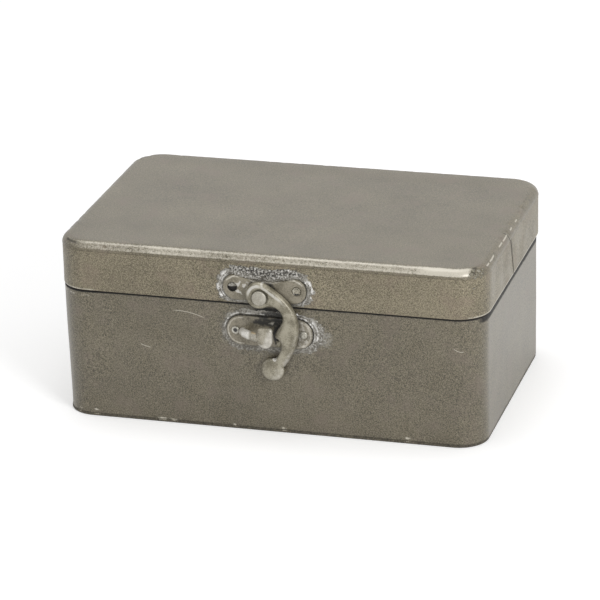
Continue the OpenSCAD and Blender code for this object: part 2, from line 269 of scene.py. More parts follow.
def points_of(piece):
    """A piece's points, in millimetres."""
    places = np.zeros(len(piece.data.vertices) * 3)
    piece.data.vertices.foreach_get("co", places)
    return places.reshape(-1, 3) / MM


def mark(piece, name, values):
    """Notes for each point of a piece how rubbed and highlit, how grimy and shaded, or how whitened it is;
    the highlights and shade are painted.
    """
    layer = piece.data.attributes.new(name, "FLOAT", "POINT")
    layer.data.foreach_set("value", np.clip(values, 0, 1).astype(np.float32))


def mark_more(piece, name, values):
    """Raises what mark() noted to at least these values."""
    layer = piece.data.attributes[name]
    before = np.zeros(len(values), np.float32)
    layer.data.foreach_get("value", before)
    layer.data.foreach_set("value", np.clip(np.maximum(before, values), 0, 1).astype(np.float32))


def work_wall(points, out):
    """The wall's hollows. Its front left corner flares out to meet the lid, and
    its right-hand end stands out a little."""
    moved = hollow(points, out, wall_hollow, 3.1)
    outer = on_outside(points, case_size)
    x, y, z = np.moveaxis(points, -1, 0)
    corner = fade(x, -48, -70) * fade(y, 30, -30)
    swelled = corner_flare * corner * fade(z, 0, 48) + end_flare * fade(x, 60, 72)
    moved[..., :2] += out * (outer * swelled * clear_of_fittings(points))[..., None]
    return moved


def on_outside(points, size):
    """1 on the outer skin of a wall or a lid, and 0 on its inner skin."""
    return fade(from_outline(points, size), 0.6, 0.3)


def from_outline(points, size):
    """Distance in from a rounded rectangle, seen from above."""
    width, depth, radius = size
    out = np.stack([
        np.abs(points[..., 0]) - (width / 2 - radius), np.abs(points[..., 1]) - (depth / 2 - radius),
    ], -1)
    return radius - np.linalg.norm(np.maximum(out, 0), axis=-1) - np.minimum(out.max(-1), 0)


wall = bend_strip(
    "wall", case_size, ring_places(case_size, 1.3, gap=strip_gap),
    upright(wall_low.z, wall_high.z, sheet_t, 1.3, rolled_edge), work_wall,
)


class Wire:
    """One value inside a material. Sums and products of wires add Math nodes."""

    def __init__(self, tree, socket=None):
        self.tree, self.socket = tree, socket

    def node(self, kind, settings=None, values=None, output=0):
        """Adds any node: its settings first, then the values or wires of its sockets."""
        made = self.tree.nodes.new("ShaderNode" + kind)
        for name, setting in (settings or {}).items():
            setattr(made, name, setting)
        for name, value in (values or {}).items():
            if isinstance(value, Wire):
                self.tree.links.new(value.socket, made.inputs[name])
            else:
                made.inputs[name].default_value = value
        return Wire(self.tree, made.outputs[output] if len(made.outputs) else None)

    def maths(self, operation, first, second=0.0):
        return self.node("Math", {"operation": operation}, {0: first, 1: second})

    def __add__(self, other):
        return self.maths("ADD", self, other)

    def __sub__(self, other):
        return self.maths("SUBTRACT", self, other)

    def __rsub__(self, other):
        return self.maths("SUBTRACT", other, self)

    def __mul__(self, other):
        return self.maths("MULTIPLY", self, other)

    def __truediv__(self, other):
        return self.maths("DIVIDE", self, other)

    def __abs__(self):
        return self.maths("ABSOLUTE", self)

    def __pow__(self, power):
        return self.maths("POWER", self, power)

    __radd__, __rmul__ = __add__, __mul__


def srgb(red, green, blue):
    """A colour as it looks on a screen, 0 to 255, as the shader's linear values."""
    parts = [part / 255 for part in (red, green, blue)]
    return tuple(
        part / 12.92 if part < 0.04045 else ((part + 0.055) / 1.055) ** 2.4 for part in parts
    ) + (1.0,)


def new_finish(name):
    """An empty material, with a wire that holds the place on the object in mm."""
    finish = bpy.data.materials.new(name)
    finish.use_nodes = True
    finish.node_tree.nodes.clear()
    start = Wire(finish.node_tree)
    place = start.node("TexCoord", output=3)
    return finish, start.node("VectorMath", {"operation": "SCALE"}, {0: place, 3: 1 / MM})


def lumps(place, scale, detail):
    """Noise between 0 and 1, with so many lumps to a millimetre."""
    return place.node("TexNoise", {}, {"Vector": place, "Scale": scale, "Detail": detail})


def step_up(value, low, high):
    """0 below low, 1 above high, and a smooth curve between."""
    settings = {"interpolation_type": "SMOOTHSTEP"}
    return value.node("MapRange", settings, {0: value, 1: low, 2: high})


def mixed(factor, first, second):
    """The first colour, changed to the second where the factor is 1."""
    settings = {"data_type": "RGBA"}
    return factor.node("Mix", settings, {0: factor, 6: first, 7: second}, output=2)


def noted(place, name):
    """How rubbed and highlit, how grimy and shaded, or how whitened the surface is, as mark() noted it;
    the highlights and shade are painted.
    """
    return place.node("Attribute", {"attribute_name": name}, output=2)


def finish_off(finish, colour, roughness, metallic, bump, bump_mm, coat=0.0):
    """Joins a colour, a roughness and a bump to the shader."""
    depth = bump.node("Bump", {}, {"Strength": 1.0, "Distance": bump_mm * MM, "Height": bump})
    values = {
        "Base Color": colour, "Roughness": roughness, "Metallic": metallic, "Normal": depth,
        "Coat Weight": coat, "Coat Roughness": 0.3, "Specular IOR Level": 0.5,
    }
    shader = bump.node("BsdfPrincipled", {}, values)
    shader.node("OutputMaterial", {}, {"Surface": shader})
    return finish


def stroke(place, axes, start, end, bow, wide, beyond):
    """A fine line on one face of the box. axes are the one it runs along, the one
    across it, and the one that the face looks along, further out than beyond."""
    along, across, facing = (
        place.node("SeparateXYZ", {}, {0: place}, output=axis) for axis in axes
    )
    share = (along - start[0]) / (end[0] - start[0])
    line = start[1] + (end[1] - start[1]) * share + 4 * bow * share * (1 - share)
    across = 1 - step_up(abs(across - line), 0.3 * wide, wide)
    ends = step_up(share, 0, 0.15) * (1 - step_up(share, 0.85, 1))
    side = math.copysign(1, beyond)
    return across * ends * step_up(side * facing, abs(beyond), abs(beyond) + 0.5)


def aged_coat(name, speckle, light=1.0, shine=0.35, scratches=(), creases=()):
    """Old metallic paint: a fine speckle, faint clouds, grimy patches and painted
    shade, white dust of flux, and bright wear with painted highlights. Scratches
    are bright lines, and creases are dark lines of painted shade. The third
    argument scales every colour, painting a piece as more lit or less lit than
    another."""
    olive_dark, olive_pale, green, pink = (
        srgb(*[part * light for part in shade])
        for shade in ((62, 56, 43), (136, 127, 107), (96, 93, 69), (113, 100, 88))
    )
    finish, place = new_finish(name)
    clouds = lumps(place, 0.05, 3.0)
    grain = lumps(place, 3.3, 2.0)
    flecks = lumps(place, 1.6, 1.0)
    tone = 0.5 + 0.45 * (clouds - 0.5) + speckle * (grain - 0.5) + 0.3 * speckle * (flecks - 0.5)
    colour = mixed(step_up(tone, 0.0, 1.0), olive_dark, olive_pale)
    hue = lumps(place, 2.2, 2.0)
    colour = mixed(0.55 * step_up(hue, 0.5, 0.66), colour, green)
    bloom = lumps(place, 0.11, 3.0)
    colour = mixed(0.4 * step_up(bloom, 0.5, 0.7), colour, pink)
    rub = lumps(place, 1.3, 3.0)
    halo = noted(place, "halo")
    dust = lumps(place, 2.4, 2.0)
    white = step_up(halo * (1.9 * dust), 0.3, 0.9)
    colour = mixed(0.75 * white, colour, srgb(150, 148, 141))
    # Grime and painted shade where marked, and painted shade along the creases.
    grime_and_shade = noted(place, "grime_and_shade")
    dirt_and_shade = step_up(grime_and_shade + 0.5 * (rub - 0.5), 0.2, 0.85)
    for line in creases:
        dirt_and_shade = dirt_and_shade.maths("MAXIMUM", dirt_and_shade, 0.9 * stroke(place, *line))
    colour = mixed(0.97 * dirt_and_shade, colour, srgb(22, 20, 19))
    # Wear and painted highlights where marked, and bright scratches.
    wear_and_highlight = noted(place, "wear_and_highlight")
    bright = step_up(wear_and_highlight + 0.6 * (rub - 0.5) + 0.55 * (grain - 0.5), 0.24, 0.78)
    for line in scratches:
        bright = bright.maths("MAXIMUM", bright, 0.85 * stroke(place, *line))
    colour = mixed(0.9 * bright, colour, srgb(200, 194, 179))
    roughness = 0.4 + 0.25 * (grain - 0.5) - 0.06 * bright + 0.35 * dirt_and_shade + 0.35 * (bloom - 0.5)
    sheen = shine * (1 - dirt_and_shade) * step_up(bloom, 0.1, 0.75)
    return finish_off(finish, colour, roughness, 0.1, 0.6 * grain + rub, 0.025, sheen)


front_face = (0, 2, 1)
scratch_w = 0.15
wall_scratches = [
    (front_face, start, end, bow, scratch_w, -30) for start, end, bow in (
        ((-32.9, 40.6), (-21.2, 38.6), 0.7), ((-44.6, 27.7), (-40.6, 26.6), -0.2),
        ((62.8, 35.2), (66.4, 34.0), -0.5),
    )
]
# The wall's colours are scaled to 0.95, painted a little darker as less lit.
wall.data.materials.append(aged_coat("wall_coat", 2.7, 0.95, 0.42, wall_scratches))
seen = points_of(wall)
x, y, z = seen.T
outside = fade(from_outline(seen, case_size), 0.75, 0.6)
# Painted shade under the lid's overhanging edge all round, a wider band of it on the right side, and a
# darker band at the foot.
mark(wall, "grime_and_shade", outside * strongest(
    0.9 * fade(z, wall_high.z - 0.9, wall_high.z - 0.3),
    0.8 * fade(x, 69, 72) * fade(z, wall_high.z - 2.9, wall_high.z - 1.9),
    0.5 * fade(z, wall_low.z + 1.0, wall_low.z + 0.1),
))
# Painted shade down the left-hand corner and side.
mark_more(wall, "grime_and_shade", 0.36 * outside * fade(x, -69.5, -72.6))
chip_places = (
    (-67.2, 0.9, 2.0), (-60.8, 1.2, 2.2), (-37.5, 2.2, 1.3), (-33.5, 1.3, 1.1),
    (4.8, 1.2, 1.4), (47.4, 1.3, 1.8), (-12.0, 0.7, 1.2), (22.0, 0.6, 1.2),
)
chip_half = 0.55
chips = sum(
    patch(seen, (at, up), 1.3, 0.3, (long, chip_half)) for at, long, up in chip_places
) * (0.4 + 0.9 * ripple(seen, 0.9, 5.0))
mark(wall, "wear_and_highlight", strongest(
    0.5 * band_at(z, wall_high.z - 1.5, 0.5) * fade(x, -52, -62) * flecked(seen, 1.6, 2.0, 0.45, 0.6),
    0.8 * chips * fade(-y, 30, 36),
))
oval_low, oval_high = limits("catch_plate")
oval_mid, oval_half = (oval_low + oval_high) / 2, (oval_high - oval_low) / 2


def from_oval(points):
    """Distance in the front's plane from the oval plate's edge, negative inside it."""
    straight = oval_half.x - oval_half.z
    sideways = np.maximum(np.abs(points[..., 0] - oval_mid.x) - straight, 0)
    return np.hypot(sideways, points[..., 2] - oval_mid.z) - oval_half.z


on_front = outside * fade(-seen[:, 1], case_size[1] / 2 - 3, case_size[1] / 2 - 1)
smear = patch(seen, (18.0, 35.0), 1.1, 0.2, (8.0, 5.5)) * (0.5 + 0.9 * ripple(seen, 3.0, 2.0))
mark(wall, "halo", on_front * strongest(
    0.7 * fade(from_oval(seen), 3.4, 0.3), 0.42 * fade(from_oval(seen), 9.0, 1.5), 0.8 * smear,
))
# Painted shadow of the hook on the wall above the lower plate, streaked, with a darker patch of it right
# of the middle.
hook_shadow = patch(seen, (1.0, 43.2), 1.2, 0.3, (9.5, 2.8))
streaks = ripple(seen * [0.35, 1.0, 1.6], 1.6, 8.0)
mark_more(wall, "grime_and_shade", on_front * strongest(
    hook_shadow * (0.4 + 0.8 * streaks), 0.9 * patch(seen, (4.4, 42.0), 1.2, 0.4, (3.2, 1.8)),
))
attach(wall, "case")
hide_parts("case_wall")


# Base
# A flat sheet cut to the outline of the box. The wall stands on it, and its
# thin edge shows all round the bottom, dark, with a few bright chips.
base_low, base_high = limits("base_plate")
cap_spacing = 3.0


def staggered(low, high, spacing):
    """Spots in staggered rows between two corners."""
    return np.array([
        (x + (row % 2) * spacing / 2, y)
        for row, y in enumerate(np.arange(low[1], high[1], spacing))
        for x in np.arange(low[0], high[0], spacing)
    ]).reshape(-1, 2)


def triangles_in(loops, spots, near, least):
    """Places and triangles that fill a shape of loops, with spots inside it. near
    is the distance at which places run together, and least how deep inside the
    shape a triangle's middle lies."""
    edges, first = [], 0
    for loop in loops:
        edges += [(first + at, first + (at + 1) % len(loop)) for at in range(len(loop))]
        first += len(loop)
    corners = [Vector(spot) for spot in np.concatenate(loops + spots)]
    found = geometry.delaunay_2d_cdt(corners, edges, [], 0, near)
    places = np.array([tuple(spot) for spot in found[0]])
    middles = np.array([places[list(face)].mean(0) for face in found[2]])
    inside = depth_inside(middles, loops) > least
    return places, [list(face) for face, kept in zip(found[2], inside) if kept]


def fill_flat(loop, spacing):
    """Places and triangles that fill a single loop."""
    spots = staggered(loop.min(0) + spacing / 2, loop.max(0) - spacing / 2, spacing)
    spots = spots[depth_inside(spots, [loop]) > 0.4 * spacing]
    return triangles_in([loop], [spots], 1e-5, 0)


def depth_inside(spots, loops):
    """How far each spot lies inside a shape of loops, negative outside it."""
    nearest = np.full(len(spots), 1e9)
    inside = np.zeros(len(spots), bool)
    for loop in loops:
        for start, end in zip(loop, np.roll(loop, -1, 0)):
            side = end - start
            share = np.clip((spots - start) @ side / max(side @ side, 1e-12), 0, 1)
            away = np.linalg.norm(spots - start - share[:, None] * side, axis=1)
            nearest = np.minimum(nearest, away)
            crosses = (start[1] > spots[:, 1]) != (end[1] > spots[:, 1])
            with np.errstate(divide="ignore", invalid="ignore"):
                at = start[0] + side[0] * (spots[:, 1] - start[1]) / side[1]
            inside ^= crosses & (spots[:, 0] < at)
    return np.where(inside, nearest, -nearest)


def press_sheet(name, size, rings, profile, work=None):
    """A sheet with shaped edges. Its profile of (distance out, height) runs from
    one flat face to the other, and both faces are filled."""
    points = carry_round(size, rings, profile)[0]
    count, steps = len(rings), len(profile)
    faces = [
        [ring * steps + at, ring * steps + at + 1, after * steps + at + 1, after * steps + at]
        for ring, after in zip(range(count), list(range(1, count)) + [0])
        for at in range(steps - 1)
    ]
    points = points.reshape(-1, 3)
    for at in (0, steps - 1):
        loop = points[at:count * steps:steps, :2]
        spots, triangles = fill_flat(loop, cap_spacing)
        first = len(points)
        level = np.full((len(spots), 1), profile[at][1])
        points = np.concatenate([points, np.hstack([spots, level])])
        faces += [[first + corner for corner in face] for face in triangles]
    if work:
        points = work(points)
    return make_piece(name, points, faces)


flat_from = -1.0
base = press_sheet(
    "base", case_size, ring_places(case_size, 1.0),
    [
        (flat_from, base_low.z), (-edge_round, base_low.z), (0, base_low.z + edge_round),
        (0, (base_low.z + base_high.z) / 2), (0, base_high.z - edge_round),
        (-edge_round, base_high.z), (flat_from, base_high.z),
    ],
)
base.data.materials.append(aged_coat("base_coat", 1.6))
seen = points_of(base)
rim = fade(from_outline(seen, case_size), 1.2, 0.5)
chips = sum(
    fade(np.abs(seen[:, 0] - at), long, 0.4 * long) for at, long, up in chip_places
) * fade(-seen[:, 1], 30, 36) * fade(seen[:, 2], 0.35, 0.6)
mark(base, "grime_and_shade", rim * (0.55 - 0.3 * chips) + 0.3 * (1 - rim) * ripple(seen, 16.0, 4.0))
mark(base, "wear_and_highlight", rim * 0.5 * chips)
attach(base, "case")
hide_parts("base_plate")


# Solder inside the base, and in the wall's joint
# Soft solder, run into the corner between the wall and the base, and down the
# joint at the middle of the back. It set grey and rough, with an uneven edge.
fillet_low, fillet_high = limits("base_solder")
fillet_size = (
    fillet_high.x - fillet_low.x, fillet_high.y - fillet_low.y, corner_r - sheet_t,
)
fillet_leg = fillet_high.z - fillet_low.z


def solder_metal(name, colour, dark):
    """Old soft solder: grey, grainy, white on its high grains and dark between, with painted shade and
    painted highlights where marked.
    """
    finish, place = new_finish(name)
    grains = lumps(place, 2.2, 3.0)
    clouds = lumps(place, 0.35, 2.0)
    tone = step_up(grains + 0.6 * (clouds - 0.5), 0.36, 0.62)
    shade = mixed(tone, dark, colour)
    fine = lumps(place, 3.1, 2.0)
    # Grime and painted shade where marked; wear and painted highlights brighten it.
    dirt_and_shade = step_up(noted(place, "grime_and_shade") + 0.9 * (0.5 - fine), 0.28, 0.75)
    shade = mixed(0.88 * dirt_and_shade, shade, srgb(43, 42, 41))
    bright = step_up(noted(place, "wear_and_highlight") + 0.9 * (fine - 0.5), 0.32, 0.95)
    shade = mixed(0.92 * bright, shade, srgb(214, 212, 208))
    return finish_off(finish, shade, 0.46 - 0.12 * tone, 0.3, grains, 0.05)


solder_grey = solder_metal("solder_grey", srgb(142, 139, 131), srgb(98, 95, 86))


def run_uneven(points, out, seed, amount):
    """Swells and thins a bead along its length."""
    swell = (ripple(points, 3.0, seed) - 0.9) * amount
    moved = points.copy()
    moved[..., :2] -= out * swell[..., None]
    return moved


hollowness = 1.6
fillet = [(0.0, fillet_low.z)] + [
    (
        -fillet_leg * math.cos(angle) ** hollowness,
        fillet_low.z + fillet_leg * math.sin(angle) ** hollowness,
    )
    for angle in np.radians(np.arange(0, 91, 15))
]
base_bead = bend_strip(
    "base_bead", fillet_size, ring_places(fillet_size, 1.5), fillet,
    lambda points, out: run_uneven(points, out, 5.0, 0.35), closed=True,
)
base_bead.data.materials.append(solder_grey)
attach(base_bead, "case")
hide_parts("base_solder")

seam_low, seam_high = limits("case_seam_solder")
seam_step = 0.7
seam_across = 9
seam_rows = np.append(np.arange(seam_low.z, seam_high.z, seam_step), seam_high.z - 0.05)
seam_points = []
for height in seam_rows:
    spot = Vector((2.0, 0.0, height / 2.4))
    half = 0.8 + 0.45 * (noise.noise(spot) - 0.4)
    proud = (seam_high.y - wall_high.y) * (0.75 + 0.25 * noise.noise(spot * 3))
    seam_points += [
        (half * share, wall_high.y + proud * math.sqrt(max(0, 1 - share * share)), height)
        for share in np.linspace(-1, 1, seam_across)
    ]
    seam_points += [(side * strip_gap / 2, seam_low.y, height) for side in (1, -1)]
seam_faces = tube_faces(len(seam_rows), seam_across + 2, False)
back_solder = make_piece("back_joint_solder", seam_points, seam_faces, 60)
back_solder.data.materials.append(solder_grey)
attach(back_solder, "case")
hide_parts("case_seam_solder")


# Rim collar
# A thin strip soldered inside the mouth of the case. It stands above the wall
# and locates the lid. Its top edge is dressed smooth and rubbed bright.
collar_low, collar_high = limits("rim_collar")
collar_size = (
    collar_high.x - collar_low.x, collar_high.y - collar_low.y, corner_r - sheet_t,
)
collar_t = 0.6
collar = bend_strip(
    "collar", collar_size, ring_places(collar_size, 2.0),
    upright(collar_low.z, collar_high.z, collar_t, 1.4), closed=True,
)


def plain_metal(name, colour, dark, roughness=0.4):
    """Dull sheet metal: soft clouds, fine grain, grimy and dark in the hollows with
    painted shade, white where flux dried on it, and bright where it is rubbed and
    where a highlight is painted."""
    finish, place = new_finish(name)
    clouds = lumps(place, 0.3, 3.0)
    grain = lumps(place, 2.6, 2.0)
    tone = step_up(1.1 * clouds + 1.1 * (grain - 0.5) - 0.05, 0.25, 0.75)
    shade = mixed(tone, dark, colour)
    rub = lumps(place, 1.4, 3.0)
    white = step_up(noted(place, "halo") * (1.9 * rub), 0.35, 0.8)
    shade = mixed(0.85 * white, shade, srgb(196, 193, 186))
    # Grime and painted shade where marked, then wear and painted highlights.
    dirt_and_shade = step_up(noted(place, "grime_and_shade") + 0.55 * (rub - 0.5), 0.3, 0.75)
    shade = mixed(0.95 * dirt_and_shade, shade, srgb(30, 29, 28))
    bright = step_up(noted(place, "wear_and_highlight") + 0.5 * (rub - 0.5), 0.3, 0.8)
    shade = mixed(0.9 * bright, shade, srgb(196, 191, 178))
    rough = roughness + 0.2 * dirt_and_shade - 0.08 * bright + 0.15 * (grain - 0.5)
    return finish_off(finish, shade, rough, 0.3, 0.7 * grain + clouds, 0.03, 0.2)


collar.data.materials.append(plain_metal("collar_metal", srgb(128, 122, 106), srgb(92, 87, 73)))
seen = points_of(collar)
mark(collar, "wear_and_highlight", 0.8 * fade(seen[:, 2], collar_high.z - 0.6, collar_high.z))
# Painted shade on the collar below the wall's top, in the gap under the lid's edge.
mark(collar, "grime_and_shade", 0.6 * fade(seen[:, 2], wall_high.z + 0.6, wall_high.z - 0.2))
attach(collar, "case")
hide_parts("rim_collar")


# Lower latch plate
# An oval stamped from sheet and soldered to the front of the case, with a hole
# near each end. Its edge is softened by the coat, and it is dull and grimy, with
# painted shade round its edge and the hook's painted shadow across it.
lid_face = limits("lid_skirt")[0].y
hole_r = 1.1
plate_t = 1.0
outline_step = 0.35
hole_step = 0.3
fitting_sharp = 40.0


def arc(centre, radius, start, end, step=outline_step):
    """Points along an arc, from one angle in degrees to another."""
    count = max(3, math.ceil(abs(math.radians(end - start)) * radius / step))
    turns = np.radians(np.linspace(start, end, count))
    return np.array(centre) + radius * np.stack([np.cos(turns), np.sin(turns)], 1)


def soften(loop, step, times):
    """A loop with its points evened out and its corners rounded off."""
    loop = np.array(loop)
    lengths = np.linalg.norm(np.roll(loop, -1, 0) - loop, axis=1)
    walked = np.concatenate([[0], np.cumsum(lengths)])
    ring = np.vstack([loop, loop[:1]])
    at = np.linspace(0, walked[-1], math.ceil(walked[-1] / step), endpoint=False)
    even = np.stack([np.interp(at, walked, ring[:, axis]) for axis in (0, 1)], 1)
    for _ in range(times):
        even = 0.5 * even + 0.25 * (np.roll(even, 1, 0) + np.roll(even, -1, 0))
    return even


def relief(name, loops, spacing, front, back, face=lid_face, towards=-1, sharp=fitting_sharp):
    """A piece with a shaped front on a flat outline. loops are its outline and
    its holes, in x and z. front gives the distance out from the face at each
    spot and its depth inside the outline, and back does so for its back."""
    spots = []
    insets = (0.1, 0.25, 0.5, 0.8)
    for inset in insets:
        for loop in loops:
            ahead = np.roll(loop, -1, 0) - np.roll(loop, 1, 0)
            side = np.stack([-ahead[:, 1], ahead[:, 0]], 1)
            side /= np.linalg.norm(side, axis=1)[:, None]
            for way in (-1, 1):
                moved = loop + way * inset * side
                spots.append(moved[depth_inside(moved, loops) > 0.93 * inset])
    grid = staggered(loops[0].min(0), loops[0].max(0), spacing)
    deep = depth_inside(grid, loops)
    kept = deep > insets[-1] + spacing / 2
    if not kept.any():
        kept = deep > 0.6 * spacing
    places, triangles = triangles_in(loops, spots + [grid[kept]], 1e-4, 1e-3)
    depth = np.maximum(depth_inside(places, loops), 0)
    count = len(places)
    points = np.zeros((2, count, 3))
    points[:, :, 0], points[:, :, 2] = places[:, 0], places[:, 1]
    points[0, :, 1] = face + towards * front(places[:, 0], places[:, 1], depth)
    points[1, :, 1] = face + towards * back(places[:, 0], places[:, 1])
    faces = triangles + [[corner + count for corner in reversed(tri)] for tri in triangles]
    sides = [side for a, b, c in triangles for side in ((a, b), (b, c), (c, a))]
    shared = set(sides)
    for start, end in sides:
        if (end, start) not in shared:
            faces.append([end, start, start + count, end + count])
    used = sorted({corner for corner_list in faces for corner in corner_list})
    number = {corner: at for at, corner in enumerate(used)}
    points = points.reshape(-1, 3)[used]
    return make_piece(name, points, [[number[corner] for corner in tri] for tri in faces], sharp)


def shoulder(depth, radius):
    """Rise from 0 at an edge to 1, round a shoulder of that radius."""
    short = 1 - np.clip(depth / radius, 0, 1)
    return np.sqrt(1 - short * short)


def oval_loop(grow=0.0):
    """Outline of the oval plate, grown outwards."""
    end = oval_half.x - oval_half.z
    loop = [
        arc((oval_mid.x + side * end, oval_mid.z), oval_half.z + grow, turn, turn + 180)
        for side, turn in ((1, -90), (-1, 90))
    ]
    return soften(np.concatenate(loop), outline_step, 1)


def flat_back(x, z):
    """A back that lies on the face."""
    return 0 * x


pins_low, pins_high = limits("catch_plate_pins")
pin_from_end = 1.4
pin_places = [(pins_low.x + pin_from_end, oval_mid.z), (pins_high.x - pin_from_end, oval_mid.z)]
oval_face = -wall_high.y
lower_edge_t = 0.62
lower_plate = relief(
    "lower_plate",
    [oval_loop()] + [arc(place, hole_r, 360, 15, hole_step) for place in pin_places], 0.7,
    lambda x, z, depth: lower_edge_t + (plate_t - lower_edge_t) * shoulder(depth, 0.5),
    flat_back, face=oval_face,
)
lower_plate.data.materials.append(plain_metal("plate_metal", srgb(132, 125, 109), srgb(96, 90, 75)))
seen = points_of(lower_plate)
rim_of_plate = from_oval(seen)
x, z = seen[:, 0], seen[:, 2]
patchy = 0.55 + 0.7 * ripple(seen, 1.8, 5.0)
streaky = ripple(seen * [0.35, 1.0, 1.8], 1.3, 8.0)
# Painted shadow of the hook across the plate's upper part and to the left, painted shade round its edge,
# and a dark painted shadow under the hook's nose, right of the catch.
mark(lower_plate, "grime_and_shade", strongest(
    patchy * (0.5 + 0.8 * streaky) * patch(seen, (0.5, 39.9), 1.2, 0.2, (9.0, 3.0)),
    0.6 * fade(rim_of_plate, -0.3, 0.0),
    0.45 * patchy * fade(np.abs(x + 6), 5, 2) * fade(z, 36.0, 37.5),
    0.9 * patch(seen, (4.4, 35.2), 1.3, 0.7, (2.3, 4.0)),
))
mark(lower_plate, "wear_and_highlight", strongest(
    0.6 * band_at(rim_of_plate, -0.7, 0.5) * fade(np.abs(x - 1), 7, 10),
    0.7 * flecked(seen, 0.9, 2.0, 0.42, 0.6) * patch(seen, (2.6, 38.9), 1.2, 0.3, (3.2, 1.5)),
    0.4 * flecked(seen, 1.5, 12.0, 0.5, 0.6) * fade(x, 9, 11),
))
mark(lower_plate, "halo", 0.45 * fade(x, 9, 11) + 0.3 * fade(x, -6, -9))
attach(lower_plate, "case")
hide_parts("catch_plate")


# Lower plate's pins
# Two small round-headed pins through the plate, spread over by hand. The left
# one is hollowed, with painted shade in it, and the right one stands up bright.
def turned(name, profile, centre, face=lid_face, count=28):
    """A round piece from a profile of (radius, distance out), on the front."""
    points = [
        (centre[0] + radius * math.cos(turn), face - height, centre[1] + radius * math.sin(turn))
        for radius, height in profile
        for turn in np.linspace(0, 2 * math.pi, count, endpoint=False)
    ]
    return make_piece(name, points, tube_faces(len(profile), count, False), fitting_sharp)


def join(name, pieces):
    """Several meshes as one object."""
    whole = bmesh.new()
    for piece in pieces:
        whole.from_mesh(piece.data)
    mesh = bpy.data.meshes.new(name)
    whole.to_mesh(mesh)
    whole.free()
    for piece in pieces:
        bpy.data.objects.remove(piece)
    return add_object(name, mesh)


pin_r = 0.9
pin_head_r = 1.35
dished = [
    (pin_r, 0.0), (pin_r, plate_t), (pin_head_r, plate_t), (pin_head_r, plate_t + 0.2),
    (1.15, plate_t + 0.42), (0.8, plate_t + 0.3), (0.45, plate_t + 0.1), (0.05, plate_t + 0.05),
]
domed = [(pin_r, 0.0), (pin_r, plate_t)] + [
    (pin_head_r * math.cos(angle), plate_t + 0.45 * math.sin(angle))
    for angle in np.radians([0, 20, 40, 60, 75, 88])
]
pins = join("lower_plate_pins", [
    turned("pin_left", dished, pin_places[0], oval_face),
    turned("pin_right", domed, pin_places[1], oval_face),
])
pins.data.materials.append(plain_metal("pin_metal", srgb(190, 187, 176), srgb(140, 136, 124), 0.3))
seen = points_of(pins)
# Painted shade in the left pin's hollow.
mark(pins, "grime_and_shade", 0.9 * (seen[:, 0] < 0) * patch(seen, pin_places[0], 1.0, 0.6))
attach(pins, "case")
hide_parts("catch_plate_pins")


# Solder round the lower plate
# A thin ragged skirt of solder that shows past the plate's edge, whitened by
# flux. It stands up in bright curved ridges at the right-hand end.
grain_size = 0.62
lower_seed = 11.0
tucked_in = 0.15
spread = 2.2


def in_plane(x, z):
    """Places on the front's plane, from their x and z."""
    return np.stack([x, 0 * x, z], -1)


def grains_of(x, z, seed):
    """The solder's grains: 1 on a grain and 0 between them."""
    coarse = ripple(in_plane(x, z), grain_size, seed)
    fine = ripple(in_plane(x, z), 0.5 * grain_size, seed + 9)
    return fade(0.6 * coarse + 0.4 * fine, 0.36, 0.64)


def crust(name, loop_in, grown, height, spacing, seed, face=lid_face, towards=-1):
    """A skirt of solder between a plate's edge and a ragged outer line. height is
    its thickness at each spot."""
    middle = grown.mean(0)
    away = grown - middle
    spots = in_plane(*grown.T)
    ragged = 0.97 + 0.16 * (ripple(spots, 2.2, seed) - 0.5) + 0.12 * (ripple(spots, 0.8, seed) - 0.5)
    outer = middle + away * ragged[:, None]

    def front(x, z, depth):
        rough = 0.35 + 0.9 * grains_of(x, z, seed)
        return 0.02 + height(x, z) * rough * shoulder(depth, 0.9)

    def back(x, z):
        return 0 * x - 0.12

    return relief(name, [outer, loop_in], spacing, front, back, face, towards, 70.0)


def lower_ridges(x, z):
    """Curved ridges of solder, two round the plate's right end and one at its left."""
    away = from_oval(in_plane(x, z))
    right = fade(x, 8.5, 10.5) * fade(z, 31, 35)
    left = fade(x, 1, -2) * fade(z, 35, 37.5)
    return strongest(
        right * band_at(away, 1.5, 0.6), right * band_at(away, 0.5, 0.4), left * band_at(away, 0.7, 0.4),
    )


def lower_height(x, z):
    """Thickness of the lower plate's solder."""
    return 0.16 + 0.36 * lower_ridges(x, z)


grown_oval = oval_loop(spread)
grown_oval[:, 0] += spread * fade(grown_oval[:, 0], 12, 17)
solder_white = solder_metal("solder_white", srgb(148, 145, 137), srgb(98, 94, 85))
lower_solder = crust(
    "lower_plate_solder", oval_loop(-tucked_in)[::-1], grown_oval, lower_height,
    0.34, lower_seed, oval_face,
)
lower_solder.data.materials.append(solder_white)
seen = points_of(lower_solder)
x, z = seen[:, 0], seen[:, 2]
ridges, grains = lower_ridges(x, z), grains_of(x, z, lower_seed)
mark(lower_solder, "wear_and_highlight", strongest(
    0.95 * ridges * (0.5 + 0.5 * flecked(seen, 1.7, 6.0, 0.4, 0.5)),
    0.6 * grains * fade(x, 10, 14), 0.3 * grains,
))
# Painted shade in the corner along the plate's edge and the hook's painted shadow above it; grime between
# the grains at the right-hand end.
mark(lower_solder, "grime_and_shade", strongest(
    0.7 * band_at(from_oval(seen), 0.1, 0.32),
    0.7 * patch(seen, (2.5, 41.6), 1.15, 0.4, (7.5, 2.0)),
    0.25 * (1 - grains) * fade(x, 9, 12),
))
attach(lower_solder, "case")
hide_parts("catch_plate_solder")


